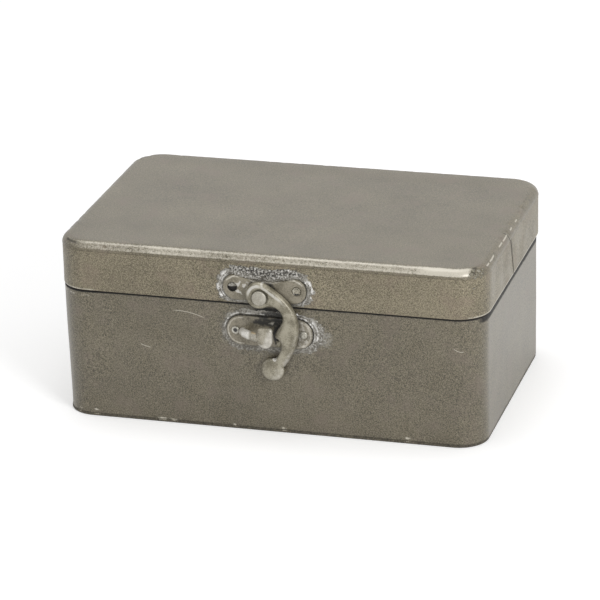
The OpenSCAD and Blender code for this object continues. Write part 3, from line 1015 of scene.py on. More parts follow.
# Catch
# A small casting soldered to the lower plate. A round neck rises out of the
# plate's left side and carries a tongue that faces forward, rubbed bright. The
# tongue's right side and bottom carry painted light, the neck's top a painted
# highlight, and the catch's back and the neck's underside painted shade.
catch_low, catch_high = limits("catch")
tongue_w = 5.2
tongue_left = catch_high.x - tongue_w
tongue_mid = catch_high.x - tongue_w / 2
tongue_top = catch_high.z + 0.4
tongue_front = lid_face - catch_low.y - 0.01
tongue_t = 1.5
tongue_edge = 0.8
round_count = 20


def rod(points, widths, heights):
    """A bar through points, oval across: a width sideways and a height."""
    points = np.array(points, float)
    ahead = np.gradient(points, axis=0)
    ahead /= np.linalg.norm(ahead, axis=1)[:, None]
    up = np.array([0.0, 0.0, 1.0])
    side = np.cross(ahead, up)
    side /= np.linalg.norm(side, axis=1)[:, None]
    over = np.cross(side, ahead)
    rings = []
    for turn in np.linspace(0, 2 * math.pi, round_count, endpoint=False):
        across = math.cos(turn) * np.array(widths)[:, None] * side / 2
        rings.append(points + across + math.sin(turn) * np.array(heights)[:, None] * over / 2)
    return np.stack(rings, 1).reshape(-1, 3), tube_faces(len(points), round_count, False)


def settle(piece):
    """Makes what a piece's modifiers do its own mesh."""
    graph = bpy.context.evaluated_depsgraph_get()
    mesh = bpy.data.meshes.new_from_object(piece.evaluated_get(graph))
    piece.modifiers.clear()
    piece.data = mesh
    return piece


def cast_whole(piece, fineness, rounds):
    """Runs overlapping shapes into one casting with softened corners."""
    fused = piece.modifiers.new("fused", "REMESH")
    fused.mode = "VOXEL"
    fused.voxel_size = fineness * MM
    smoothed = piece.modifiers.new("smoothed", "SMOOTH")
    smoothed.factor = 0.6
    smoothed.iterations = rounds
    settle(piece)
    piece.data.shade_smooth()
    return piece


tongue_r = tongue_w / 2
tongue_loop = soften(np.concatenate([
    arc((tongue_mid, catch_low.z + tongue_r), tongue_r, -170, -10),
    arc((catch_high.x - 0.8, tongue_top - 0.9), 0.8, 0, 90),
    arc((tongue_left + 1.4, tongue_top - 1.5), 1.4, 90, 180),
]), 0.3, 3)
tongue = relief(
    "tongue", [tongue_loop], 0.5,
    lambda x, z, depth: tongue_front - tongue_edge + tongue_edge * shoulder(depth, 1.5),
    lambda x, z: 0 * x + tongue_front - tongue_t,
)
neck_path = [
    (-8.3, lid_face + 0.3, 35.7), (-8.0, lid_face - 1.1, 35.9), (-6.9, lid_face - 2.6, 36.0),
    (-4.9, lid_face - 4.2, 36.1), (-2.7, lid_face - 5.4, 36.1), (-0.6, lid_face - 6.1, 36.0),
    (1.0, lid_face - 6.4, 36.0),
]
neck = make_piece("neck", *rod(
    neck_path, [2.3, 2.5, 2.7, 2.5, 2.2, 1.6, 1.0], [2.3, 2.6, 3.0, 3.2, 3.2, 2.9, 2.2],
))
catch = cast_whole(join("catch_casting", [tongue, neck]), 0.14, 3)


def cast_metal(name, colour, dark):
    """Cast latch metal: dull, dark in the hollows with painted shade, rubbed bright
    with painted highlights on the high places, and a yellow stain here and there."""
    finish, place = new_finish(name)
    clouds = lumps(place, 0.3, 3.0)
    grain = lumps(place, 2.8, 2.0)
    tone = step_up(clouds + 0.8 * (grain - 0.5), 0.28, 0.72)
    shade = mixed(tone, dark, colour)
    rub = lumps(place, 0.9, 3.0)
    # Grime and painted shade where marked, then wear and painted highlights.
    dirt_and_shade = step_up(noted(place, "grime_and_shade") + 0.45 * (rub - 0.5), 0.25, 0.8)
    shade = mixed(0.93 * dirt_and_shade, shade, srgb(36, 34, 31))
    bright = step_up(noted(place, "wear_and_highlight") + 0.35 * (rub - 0.5), 0.2, 0.85)
    shade = mixed(0.95 * bright, shade, srgb(222, 219, 212))
    stain = step_up(noted(place, "stain") + 0.3 * (rub - 0.5), 0.3, 0.7)
    shade = mixed(0.8 * stain, shade, srgb(190, 158, 96))
    rough = 0.36 - 0.08 * bright + 0.15 * (grain - 0.5) + 0.15 * dirt_and_shade
    return finish_off(finish, shade, rough, 0.3, 0.5 * grain + clouds, 0.03, 0.3)


catch_metal = cast_metal("catch_metal", srgb(164, 158, 142), srgb(114, 108, 92))
catch.data.materials.append(catch_metal)
seen = points_of(catch)
x, y, z = seen.T
on_neck = fade(x, tongue_left - 0.1, tongue_left - 0.5)
# Painted light: the tongue lighter across a slant to its right and along its bottom, and a painted
# highlight on the neck's top, brightest at its left end.
slant = 0.85 * (x - tongue_mid) - 0.35 * (z - 37.0)
mark(catch, "wear_and_highlight", strongest(
    (1 - on_neck) * (0.08 + 0.42 * fade(slant, -1.0, 1.4)), 0.5 * (1 - on_neck) * fade(z, 35.2, 33.6),
    on_neck * (0.36 + 0.55 * fade(x, -4.0, -5.6)) * fade(z, 34.2, 35.2),
))
mark(catch, "stain", 0.5 * on_neck * fade(z, 36.9, 37.5) * fade(np.abs(x + 2.9), 1.6, 0.8))
# Painted shade on the catch's back near the plate and under the neck.
mark(catch, "grime_and_shade", strongest(0.5 * fade(-y, 48.4, 47.8), 0.4 * on_neck * fade(z, 35.0, 34.2)))
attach(catch, "case")
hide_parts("catch")


# Hinges
# Two small butt hinges on the back, folded from sheet. Each leaf is soldered on
# flat, and its end is curled round a wire pin whose ends are peened over.
def joint_place(name):
    """Where a joint of the frame lies, in millimetres."""
    joint = next(joint for joint in frame["joints"] if joint["name"] == name)
    return [along / MM for along in joint["pos_m"]]


axis_y, axis_z = joint_place("lid_hinge")[1:]
leaf_reach = 11.5
leaf_t = 0.7
knuckle_r = 1.49
curl_r = knuckle_r - leaf_t / 2
curl_turn = 300
curl_begins = 2.4
flat_ends = 2.9
leaf_row = 0.7
leaf_corner = 1.6
knuckle_play = 0.05
hinge_metal = plain_metal("hinge_metal", srgb(130, 124, 108), srgb(92, 86, 72))


def hinge_leaf(name, side, face, way, knuckles):
    """One leaf. face is how far back its inner side lies, way is 1 up and -1
    down, and knuckles are the stretches along the pin that it curls round."""
    flat = [
        (face + leaf_t / 2, way * reach) for reach in np.arange(leaf_reach, flat_ends, -leaf_row)
    ]
    turns = np.radians(np.arange(180, 180 - curl_turn, -15))
    curl = [(axis_y + curl_r * math.cos(turn), -way * curl_r * math.sin(turn)) for turn in turns]
    path = flat + [(face + leaf_t / 2, way * curl_begins)] + curl
    columns = sorted(
        {edge for knuckle in knuckles for edge in knuckle}
        | set(np.linspace(-hinge_l / 2, hinge_l / 2, 25).round(3))
    )
    points = []
    for row, (y, z) in enumerate(path):
        short = max(0.0, leaf_corner - leaf_row * row)
        half = hinge_l / 2 - leaf_corner + math.sqrt(leaf_corner ** 2 - short ** 2)
        for x in columns:
            points.append((side * hinge_x + max(-half, min(half, x)), y, axis_z + z))
    faces = []
    for row in range(len(path) - 1):
        for column in range(len(columns) - 1):
            middle = (columns[column] + columns[column + 1]) / 2
            curled = row >= len(flat)
            if curled and not any(start < middle < end for start, end in knuckles):
                continue
            corner = row * len(columns) + column
            faces.append([corner, corner + 1, corner + len(columns) + 1, corner + len(columns)])
    leaf = make_piece(name, points, faces)
    shape = bmesh.new()
    shape.from_mesh(leaf.data)
    bmesh.ops.delete(shape, geom=[v for v in shape.verts if not v.link_faces], context="VERTS")
    shape.to_mesh(leaf.data)
    shape.free()
    thick = leaf.modifiers.new("thick", "SOLIDIFY")
    thick.thickness, thick.offset, thick.use_even_offset = leaf_t * MM, 0, True
    eased = leaf.modifiers.new("eased", "BEVEL")
    eased.width, eased.segments, eased.angle_limit = 0.1 * MM, 2, math.radians(50)
    settle(leaf)
    leaf.data.set_sharp_from_angle(angle=math.radians(50))
    leaf.data.materials.clear()
    leaf.data.materials.append(hinge_metal)
    seen = points_of(leaf)
    mark(leaf, "wear_and_highlight", 0.5 * fade(seen[:, 1], axis_y + 1.0, axis_y + 1.5))
    from_axis = np.hypot(seen[:, 1] - axis_y, seen[:, 2] - axis_z)
    mark(leaf, "grime_and_shade", 0.7 * fade(np.abs(from_axis - curl_begins), 0.8, 0.1))
    return leaf


third = hinge_l / 6
outer_knuckles = [(-hinge_l / 2, -third - knuckle_play), (third + knuckle_play, hinge_l / 2)]
for side, hand in ((-1, "left"), (1, "right")):
    case_leaf = hinge_leaf(hand + "_case_leaf", side, wall_high.y, -1, outer_knuckles)
    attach(case_leaf, "case")
    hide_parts("hinge_" + hand + "_case_leaf")

wire_r = 0.7
wire = []
for side in (-1, 1):
    end = hinge_l / 2 + 0.05
    stations_along = [
        (-end - 0.4, 0.5), (-end - 0.38, 0.85), (-end - 0.2, 1.1), (-end, 1.12), (-end, wire_r),
        (end, wire_r), (end, 1.12), (end + 0.2, 1.1), (end + 0.38, 0.85), (end + 0.4, 0.5),
    ]
    points = [
        (side * hinge_x + along, axis_y + radius * math.cos(turn), axis_z + radius * math.sin(turn))
        for along, radius in stations_along
        for turn in np.linspace(0, 2 * math.pi, round_count, endpoint=False)
    ]
    wire.append(make_piece("wire", points, tube_faces(len(stations_along), round_count, False)))
hinge_wire = join("hinge_wires", wire)
hinge_wire.data.materials.append(plain_metal("wire_metal", srgb(162, 158, 146), srgb(116, 112, 100), 0.34))
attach(hinge_wire, "case")
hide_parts("hinge_pins")


leaf_gap = 3.1
skirt_h = 0.3
skirt_w, skirt_w_by_hinge = 1.1, 0.1
skirt_under = 0.2
skirt_step = 0.6


def box_loop(low, high, radius):
    """Outline of a rectangle with rounded corners, in x and z."""
    corners = []
    for x, z, turn in ((1, 0, -90), (1, 1, 0), (0, 1, 90), (0, 0, 180)):
        centre = (
            (high[0] - radius) if x else (low[0] + radius),
            (high[1] - radius) if z else (low[1] + radius),
        )
        corners.append(arc(centre, radius, turn, turn + 90, 0.4))
    return soften(np.concatenate(corners), skirt_step, 1)


def leaf_solder(name, body, node, face, low_z, high_z, seed):
    """The thin skirts of solder round both leaves on one side of the hinge line."""
    below, above = skirt_w, skirt_w_by_hinge
    if body == "lid":
        below, above = above, below
    skirts = []
    for side in (-1, 1):
        left, right = side * hinge_x - hinge_l / 2, side * hinge_x + hinge_l / 2
        inner = box_loop(
            (left + skirt_under, low_z + skirt_under), (right - skirt_under, high_z - skirt_under), 1.4,
        )
        outer = box_loop((left - skirt_w, low_z - below), (right + skirt_w, high_z + above), 2.0)
        skirts.append(crust(
            "skirt", inner[::-1], outer, lambda x, z: skirt_h + 0 * x, skirt_step, seed + side, face, 1,
        ))
    whole = join(name, skirts)
    whole.data.materials.append(solder_grey)
    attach(whole, body)
    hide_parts(node)


leaf_solder(
    "case_leaf_solder", "case", "hinge_case_solder", wall_high.y,
    axis_z - leaf_reach, axis_z - leaf_gap, 21.0,
)


# Lid top
# A sheet with its edge turned down over a round former. The turned edge has
# been rubbed to bright metal along the front, where painted highlights run along
# it and painted shade lies in its creases, and its corners are dabbed with solder.
# The flat is slightly hollow.
top_low, top_high = limits("lid_top")
skirt_low, skirt_high = limits("lid_skirt")
lid_size = (
    skirt_high.x - skirt_low.x, skirt_high.y - skirt_low.y,
    corner_r + (skirt_high.x - wall_high.x),
)
turn_r = top_high.z - top_low.z
rim_z = top_low.z
top_hollow = 0.3
dent_deep = 0.11

quarter = np.radians(np.linspace(0, 90, 15))
outer_turn = [(turn_r * (math.cos(a) - 1), rim_z + turn_r * math.sin(a)) for a in quarter]
inside_r = turn_r - sheet_t
inner_turn = [(inside_r * math.cos(a) - turn_r, rim_z + inside_r * math.sin(a)) for a in quarter]
rim_soft = 0.1
top_profile = (
    inner_turn[::-1][:-1] + [(-sheet_t, rim_z + rim_soft), (-sheet_t + rim_soft, rim_z)]
    + [(-rim_soft, rim_z), (0.0, rim_z + rim_soft)] + outer_turn[1:]
)


def work_top(points):
    """The hollow of the flat, dents along the turned edge and a burr at the back."""
    moved = points.copy()
    inset = from_outline(points, lid_size)
    low = 0.6 * ripple(points * [1, 1, 0], 38.0, 2.2) + 0.25 * ripple(points * [1, 1, 0], 12.0, 6.0)
    moved[:, 2] -= top_hollow * low * fade(inset, 2.0, 16.0)
    dents = flecked(points, 2.6, 4.0, 0.5, 0.85) + 0.5 * flecked(points, 1.1, 1.0, 0.55, 0.8)
    on_turn = fade(inset, 4.0, 1.5) * fade(points[:, 2], rim_z - 1, rim_z + 1.5)
    up_turn = np.degrees(np.arctan2(points[:, 2] - rim_z, np.maximum(turn_r - inset, 0)))
    at_front = fade(-points[:, 1], 40, 44) * fade(np.abs(points[:, 0]), 72, 66)
    ends = 1 - fade(points[:, 0], 50, 55) * fade(points[:, 0], 71, 68)
    groove = 1.1 * at_front * ends * band_at(up_turn, 43, 15)
    dents = dents + groove + 0.6 * at_front * band_at(up_turn, 10, 9)
    towards = np.array([0.0, 0.0, rim_z]) - points
    towards[:, 0] = -np.sign(points[:, 0]) * fade(np.abs(points[:, 0]), 60, 66)
    towards[:, 1] = -np.sign(points[:, 1]) * fade(np.abs(points[:, 1]), 36, 42)
    towards[:, 2] = -fade(points[:, 2], rim_z, rim_z + 2)
    moved += dent_deep * (dents * on_turn)[:, None] * towards
    return moved


lid_top = press_sheet("lid_top_sheet", lid_size, ring_places(lid_size, 1.0), top_profile, work_top)
right_face, top_face = (2, 1, 0), (1, 0, 2)
# A crease on the right of the turned edge, drawn as a dark line of painted shade.
right_edge_creases = [(right_face, (58.8, -8.0), (63.2, -8.9), 0.0, 0.36, 70.6)]
dash_x = lid_size[0] / 2 - 1.1
dashes = [
    (top_face, (start, dash_x), (end, dash_x + shift), 0.08, 0.27, 61.0)
    for start, end, shift in (
        (7.0, 4.3, 0.0), (-1.0, -4.0, 0.1), (-8.0, -15.0, 0.1), (-15.4, -20.6, 0.0),
        (-27.6, -34.6, 0.1), (-35.0, -38.4, -0.1),
    )
]
lid_top.data.materials.append(aged_coat("lid_top_coat", 1.9, 1.0, 0.36, dashes, right_edge_creases))
seen = points_of(lid_top)
inset = from_outline(seen, lid_size)
outer_skin = (seen[:, 2] > rim_z + 0.05) & (
    np.hypot(np.maximum(turn_r - inset, 0), seen[:, 2] - rim_z) > turn_r - 0.35
)
rise = np.degrees(np.arctan2(seen[:, 2] - rim_z, np.maximum(turn_r - inset, 0)))
along = seen[:, 0]
# Along the front of the turned edge: wear with painted highlights, in two bright lines on its rolled
# ridges and a paler band between them.
front_edge = outer_skin * fade(-seen[:, 1], 36, 40)
stops = [-72, -67, -62, -44, -38, -26, -18, 0, 8, 50, 54, 67.5, 69]
lower_line = band_at(rise, 25, 12) * np.interp(
    along, stops, [0.2, 0.34, 0.5, 0.52, 0.7, 0.68, 0.56, 0.58, 0.68, 0.66, 0.85, 0.8, 0.2],
)
upper_line = band_at(rise, 61, 13) * np.interp(
    along, stops, [0.2, 0.38, 0.6, 0.58, 0.7, 0.68, 0.56, 0.58, 0.7, 0.68, 0.85, 0.8, 0.2],
)
between = fade(rise, 10, 24) * fade(rise, 92, 70) * np.interp(
    along, stops, [0.15, 0.32, 0.46, 0.44, 0.56, 0.54, 0.46, 0.46, 0.5, 0.52, 0.84, 0.8, 0.1],
)
mark(lid_top, "wear_and_highlight", front_edge * strongest(lower_line, upper_line, between))
# Painted shade in creases of the turned edge: at its left end, in a groove between the two bright lines,
# and at its right end.
crease_left = 0.62 * fade(np.abs(along + 67.8), 3.6, 1.8) * fade(np.abs(rise - 52), 14, 5)
crease_long = 0.5 * fade(np.abs(along + 52), 8.5, 6.5) * fade(np.abs(rise - 43), 9, 3)
crease_right = 0.6 * fade(np.abs(along - 69.2), 1.0, 0.4) * fade(np.abs(rise - 48), 36, 26)
mark(lid_top, "grime_and_shade", strongest(
    0.35 * fade(seen[:, 2], rim_z + 0.2, rim_z),
    front_edge * strongest(crease_left, crease_long, crease_right),
))
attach(lid_top, "lid")
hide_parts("lid_top")


# Lid skirt
# A strip bent round under the turned edge of the top. Its lower edge is turned
# in over the case's rim, and its ends meet in a leaning joint on the right.
skirt_joint_y = -4.4
joint_lean = math.tan(math.radians(19))
turned_in = 1.3
turned_soft = 0.1
lip_round = 0.35
skirt_hollow = 0.2
skirt_mid_z = (skirt_low.z + rim_z) / 2
joint_at = sum(stretches(lid_size)[:2]) + (lid_size[1] / 2 - lid_size[2]) - skirt_joint_y

skirt_heights = np.concatenate([
    skirt_low.z + np.array([0.55, 0.8, 1.2]), np.arange(skirt_low.z + 2.0, rim_z - 0.4, 1.1),
])
lip = [
    (lip_round * (math.cos(a) - 1), skirt_low.z + lip_round * (1 + math.sin(a)))
    for a in np.radians([-90, -60, -30, 0])
]
skirt_profile = (
    lip + [(0.0, z) for z in skirt_heights] + [(0.0, rim_z - rim_soft), (-rim_soft, rim_z)]
    + [(rim_soft - sheet_t, rim_z), (-sheet_t, rim_z - rim_soft)]
    + [(-sheet_t, z) for z in skirt_heights[::-1]]
    + [(-sheet_t, skirt_low.z + sheet_t), (-turned_in + turned_soft, skirt_low.z + sheet_t)]
    + [(-turned_in, skirt_low.z + sheet_t - turned_soft), (-turned_in, skirt_low.z + turned_soft)]
    + [(-turned_in + turned_soft, skirt_low.z)]
)


def work_skirt(points, out):
    """Leans the joint, and sinks the sheet a little between its bends."""
    moved = hollow(points, out, skirt_hollow, 8.4)
    from_joint = np.abs(points[..., 1] - skirt_joint_y)
    lean = joint_lean * (skirt_mid_z - points[..., 2])
    moved[..., 1] += lean * fade(from_joint, 26, 0) * fade(points[..., 0], 60, 68)
    return moved


skirt = bend_strip(
    "lid_skirt_sheet", lid_size,
    ring_places(lid_size, 1.2, start=joint_at, gap=strip_gap), skirt_profile, work_skirt,
)
# The skirt's colours are scaled to 1.13, painted lighter as more lit.
skirt.data.materials.append(aged_coat("skirt_coat", 2.3, 1.13, 0.0))
seen = points_of(skirt)
outside = on_outside(seen, lid_size)
joint_line = np.abs(seen[:, 1] - skirt_joint_y - joint_lean * (skirt_mid_z - seen[:, 2]))
plate_low, plate_high = limits("latch_plate")
plate_x = (plate_low.x + plate_high.x) / 2
plate_z = plate_low.z + 4.49
lobe_x = 9.8
lobe_r = 4.5
waist_in = 1.3


def from_bow_tie(points):
    """Distance in the front's plane from the upper plate's edge."""
    across = np.abs(points[..., 0] - plate_x)
    past = np.maximum(across - lobe_x, 0)
    waist = waist_in * fade(across, lobe_x - 2, 3)
    return np.hypot(past, points[..., 2] - plate_z) - lobe_r + waist


on_front = outside * fade(-seen[:, 1], lid_size[1] / 2 - 3, lid_size[1] / 2 - 1)
mark(skirt, "halo", on_front * strongest(
    0.8 * fade(from_bow_tie(seen), 3.6, 0.3), 0.35 * fade(from_bow_tie(seen), 8.0, 1.5),
))
x, z = seen[:, 0], seen[:, 2]
behind_hole = np.hypot(x + 11.2, z - plate_z) < 2.4
# Painted shade along the lip's underside, on the skirt seen through the upper plate's left hole and low on
# the skirt round the latch; a dark joint; and mottled painted shade over the right side.
mark(skirt, "grime_and_shade", strongest(
    0.7 * fade(z, skirt_low.z + 0.25, skirt_low.z), on_front * behind_hole,
    0.45 * on_front * fade(np.abs(x - latch_x), 16, 9) * fade(z, 47.4, 46.2),
    0.62 * outside * fade(x, 60, 70) * fade(joint_line, 0.75, 0.3),
    outside * (0.16 + 0.26 * ripple(seen, 9.0, 3.0)) * fade(x, 63, 70),
))
# Painted highlight along the lip at the right and at the left.
lip_line = fade(np.abs(z - skirt_low.z - 0.45), 0.4, 0.1)
mark(skirt, "wear_and_highlight", outside * lip_line * strongest(0.62 * fade(x, 64, 70), 0.6 * fade(x, -55, -62)))
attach(skirt, "lid")
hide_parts("lid_skirt")


# Solder of the lid
# A bead inside, where the turned edge meets the skirt, dabs that came through
# at the front right corner, and a fill in the skirt's leaning joint.
bead_low, bead_high = limits("lid_edge_solder")
bead_size = (bead_high.x - bead_low.x, bead_high.y - bead_low.y, lid_size[2] - sheet_t)
bead_r = rim_z - bead_low.z
bead_ring = [(0.02, rim_z + 0.6 * bead_r), (0.02, rim_z - bead_r)] + [
    (-bead_r * math.sin(a), rim_z - bead_r * math.cos(a)) for a in np.radians([25, 50, 75, 100, 125])
]
bead = bend_strip(
    "bead", bead_size, ring_places(bead_size, 1.5), bead_ring,
    lambda points, out: run_uneven(points, out, 15.0, 0.25), closed=True,
)


def dab(place, size, seed):
    """A small uneven lump at a place, of so many mm each way from its middle."""
    lump = bmesh.new()
    bmesh.ops.create_icosphere(lump, subdivisions=3, radius=1.0)
    for vertex in lump.verts:
        swell = 1 + 0.35 * noise.noise(vertex.co * 1.7 + Vector((seed, 0, 0)))
        vertex.co = Vector([place[axis] + size[axis] * vertex.co[axis] * swell for axis in range(3)]) * MM
    mesh = bpy.data.meshes.new("dab")
    lump.to_mesh(mesh)
    lump.free()
    mesh.shade_smooth()
    return add_object("dab", mesh)


corner_x, corner_y = lid_size[0] / 2 - lid_size[2], lid_size[1] / 2 - lid_size[2]


def at_corner(angle, height, sunk):
    """Place on the lid's front right corner, at an angle from the front."""
    turn = math.radians(angle)
    tip = max(0.0, height - rim_z)
    radius = lid_size[2] - turn_r + math.sqrt(max(0.0, turn_r ** 2 - tip ** 2)) - sunk
    return (corner_x + radius * math.sin(turn), -corner_y - radius * math.cos(turn), height)


dab_places = [
    (37, 60.9, 0.9), (42, 61.7, 0.8), (47, 60.5, 1.0), (53, 61.3, 0.9), (59, 60.6, 0.9), (64, 61.4, 0.7),
    (43, 59.7, 0.7), (55, 59.5, 0.7), (40, 56.2, 0.45), (37, 54.6, 0.4),
]
dabs = [
    dab(at_corner(angle, height, 0.5 * size), (0.95 * size, 0.95 * size, 0.62 * size), 3.0 * index)
    for index, (angle, height, size) in enumerate(dab_places)
]
lid_solder = join("lid_solder", [bead] + dabs)
lid_solder.data.materials.append(solder_metal("dab_solder", srgb(132, 127, 112), srgb(84, 79, 66)))
seen = points_of(lid_solder)
dab_flecks = flecked(seen, 0.9, 4.0, 0.45, 0.6) * fade(seen[:, 0], 60, 66)
mark(lid_solder, "wear_and_highlight", 0.42 * (seen[:, 2] > 54) * dab_flecks)
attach(lid_solder, "lid")
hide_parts("lid_edge_solder")

fill_points = []
fill_rows = np.linspace(skirt_low.z + 0.4, rim_z - 0.05, 24)
half = strip_gap / 2
for height in fill_rows:
    mid_y = skirt_joint_y + joint_lean * (skirt_mid_z - height)
    sunk = 0.3 + 0.14 * noise.noise(Vector((4.0, 1.0, height / 1.5)))
    section = ((-sunk, -half), (-sunk - 0.04, 0.0), (-sunk, half), (-sheet_t, half), (-sheet_t, -half))
    fill_points += [(lid_size[0] / 2 + out, mid_y + along, height) for out, along in section]
fill_faces = tube_faces(len(fill_rows), len(section), False)
joint_fill = make_piece("skirt_joint_solder", fill_points, fill_faces, 60)
joint_fill.data.materials.append(solder_metal("joint_solder", srgb(120, 116, 104), srgb(52, 49, 44)))
seen = points_of(joint_fill)
mark(joint_fill, "grime_and_shade", 0.8 - 0.8 * flecked(seen * [0, 0, 1], 1.6, 7.0, 0.5, 0.62))
mark(joint_fill, "wear_and_highlight", 0.9 * fade(np.abs(seen[:, 2] - 55.6), 1.5, 0.8))
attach(joint_fill, "lid")
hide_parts("lid_seam_solder")


# Upper latch plate
# A bow-tie shape stamped from sheet and soldered to the lid. Solder has run
# into the upper half of its left hole, and the rest of that hole is open, with
# painted shade in it.
pivot = np.array(joint_place("hook_swing"))[[0, 2]]
fixing_x = 10.95
fixing_r = 1.5
left_hole, right_hole = ((plate_x + side * fixing_x, plate_z) for side in (-1, 1))
waist_up = 2.45
upper_edge_t = 0.6


def bow_loop(grow=0.0, rounds=6):
    """Outline of the bow-tie plate, grown outwards."""
    loop = [
        arc((plate_x + lobe_x, plate_z), lobe_r + grow, -88, 72),
        [(plate_x + across, plate_z + waist_up + grow) for across in (3.1, -3.2)],
        arc((plate_x - lobe_x, plate_z), lobe_r + grow, 108, 268),
    ]
    return soften(np.concatenate(loop), outline_step, rounds)


upper_plate = relief(
    "upper_plate",
    [bow_loop()] + [arc(hole, fixing_r, 360, 12, hole_step) for hole in (left_hole, right_hole)], 0.7,
    lambda x, z, depth: upper_edge_t + (plate_t - upper_edge_t) * shoulder(depth, 0.55), flat_back,
)
upper_plate.data.materials.append(plain_metal("upper_plate_metal", srgb(138, 131, 115), srgb(104, 98, 82)))
seen = points_of(upper_plate)
rim_of_plate = from_bow_tie(seen)
x, z = seen[:, 0], seen[:, 2]
in_left_hole = np.hypot(x - left_hole[0], z - left_hole[1]) < fixing_r + 0.12
# Painted shade round the plate's edge, the hook head's painted shadow, and painted shade in the open part
# of the left hole.
mark(upper_plate, "grime_and_shade", strongest(
    0.75 * fade(rim_of_plate, -0.3, 0.1), 0.6 * patch(seen, pivot + (0, 1), 5.7, 4.8),
    in_left_hole & (z < plate_z + 0.3),
))
# Bright along the upper edge: wear with a painted highlight where it faces up.
mark(upper_plate, "wear_and_highlight", 0.66 * band_at(rim_of_plate, -0.7, 0.5) * fade(z, plate_z + 0.5, plate_z + 3.0))
smears = flecked(seen * [1.0, 1.0, 0.6], 1.0, 3.0, 0.42, 0.6)
mark(upper_plate, "halo", smears * strongest(
    patch(seen, (-7.4, plate_z), 3.4, 1.6, (1.4, 1.0)), 0.5 * patch(seen, (9.5, plate_z), 3.6, 2.0),
))
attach(upper_plate, "lid")
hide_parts("latch_plate")


# Upper plate's pin
# A pin driven into the right hole and filed flush, with a ring left by the
# punch.
stud = turned("upper_plate_pin", [
    (1.42, 0.0), (1.42, 0.85), (1.3, 0.98), (1.05, 0.96),
    (0.9, 0.84), (0.7, 0.84), (0.5, 0.97), (0.05, 0.93),
], right_hole)
stud.data.materials.append(plain_metal("stud_metal", srgb(158, 152, 136), srgb(116, 110, 94)))
seen = points_of(stud)
right, up = seen[:, 0] - right_hole[0], seen[:, 2] - right_hole[1]
from_stud = np.hypot(right, up)
# Painted shade in the gap round the pin, below it and at its top.
mark(stud, "grime_and_shade", strongest(
    0.95 * band_at(from_stud, 1.0, 0.5) * fade(up, -0.4, -0.8),
    0.7 * band_at(from_stud, 1.1, 0.35) * fade(up, 0.6, 0.9),
))
mark(stud, "wear_and_highlight", 0.6 * flecked(seen, 0.6, 3.0, 0.45, 0.6) * fade(right, 0.2, -0.6))
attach(stud, "lid")
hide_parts("latch_plate_pin")


# Solder round the upper plate
# A thick grainy crust along the plate's upper edge, blackened between its
# grains, with a whitened skirt at both ends and a blob in the left hole.
upper_seed = 31.0


def lobe_ridges(x, z):
    """Curved flakes of solder that stand up outside both lobes."""
    away = from_bow_tie(in_plane(x, z))
    flaky = flecked(in_plane(x, z), 1.9, 3.0, 0.45, 0.53)
    ends = fade(np.abs(x - plate_x), lobe_x + 1.5, lobe_x + 3.2) * fade(np.abs(z - plate_z), 6.5, 4.5)
    return ends * flaky * strongest(band_at(away, 1.7, 0.8), 0.8 * band_at(away, 0.7, 0.45))


def above_plate(x, z):
    """1 where the crust lies thick along the plate's upper edge."""
    return fade(z, plate_z + 2.2, plate_z + 3.6) * fade(np.abs(x - plate_x), 14.5, 11)


def upper_height(x, z):
    """Thickness of the upper plate's solder."""
    return 0.16 + 0.4 * above_plate(x, z) + 0.42 * lobe_ridges(x, z)


crust_top = rim_z - 0.25
grown_bow = bow_loop(2.7, rounds=3)
over = fade(np.abs(grown_bow[:, 0] - plate_x), 14.5, 10) * (grown_bow[:, 1] > plate_z)
grown_bow[:, 1] += 0.75 * over * (crust_top - grown_bow[:, 1])
grown_bow[:, 1] = np.clip(grown_bow[:, 1], skirt_low.z + 0.35, crust_top)
upper_solder = crust(
    "upper_crust", bow_loop(-tucked_in)[::-1], grown_bow, upper_height, 0.26, upper_seed,
)
half_moon_loop = soften(np.concatenate([
    arc(left_hole, fixing_r - 0.02, 12, 168, hole_step), [(left_hole[0] - 0.4, left_hole[1] + 0.15)],
]), 0.25, 1)
half_moon = relief(
    "half_moon", [half_moon_loop], 0.4, lambda x, z, depth: 0.88 + 0.1 * shoulder(depth, 0.4), flat_back,
)
upper_solder = join("upper_plate_solder", [upper_solder, half_moon])
upper_solder.data.materials.append(solder_white)
seen = points_of(upper_solder)
x, z = seen[:, 0], seen[:, 2]
grains, thick = grains_of(x, z, upper_seed), above_plate(x, z)
in_hole = np.hypot(x - left_hole[0], z - left_hole[1]) < fixing_r
near_plate = fade(from_bow_tie(seen), 1.4, 0.5) * thick
mark(upper_solder, "wear_and_highlight", strongest(
    0.68 * grains * thick, 0.95 * lobe_ridges(x, z), 0.5 * grains * (1 - in_hole), 0.1 * in_hole,
    0.6 * near_plate * grains,
))
# Grime between the grains, painted shade along the plate's edge, and painted shade at the foot of the blob
# in the left hole.
mark(upper_solder, "grime_and_shade", strongest(
    0.8 * (1 - grains) * thick * (1 - in_hole) * (1 - 0.6 * near_plate),
    0.6 * band_at(from_bow_tie(seen), 0.1, 0.3) * (1 - 0.6 * thick),
    0.15 * (1 - grains) * (1 - in_hole), in_hole * fade(z, plate_z + 0.2, plate_z - 0.1),
))
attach(upper_solder, "lid")
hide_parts("latch_plate_solder")


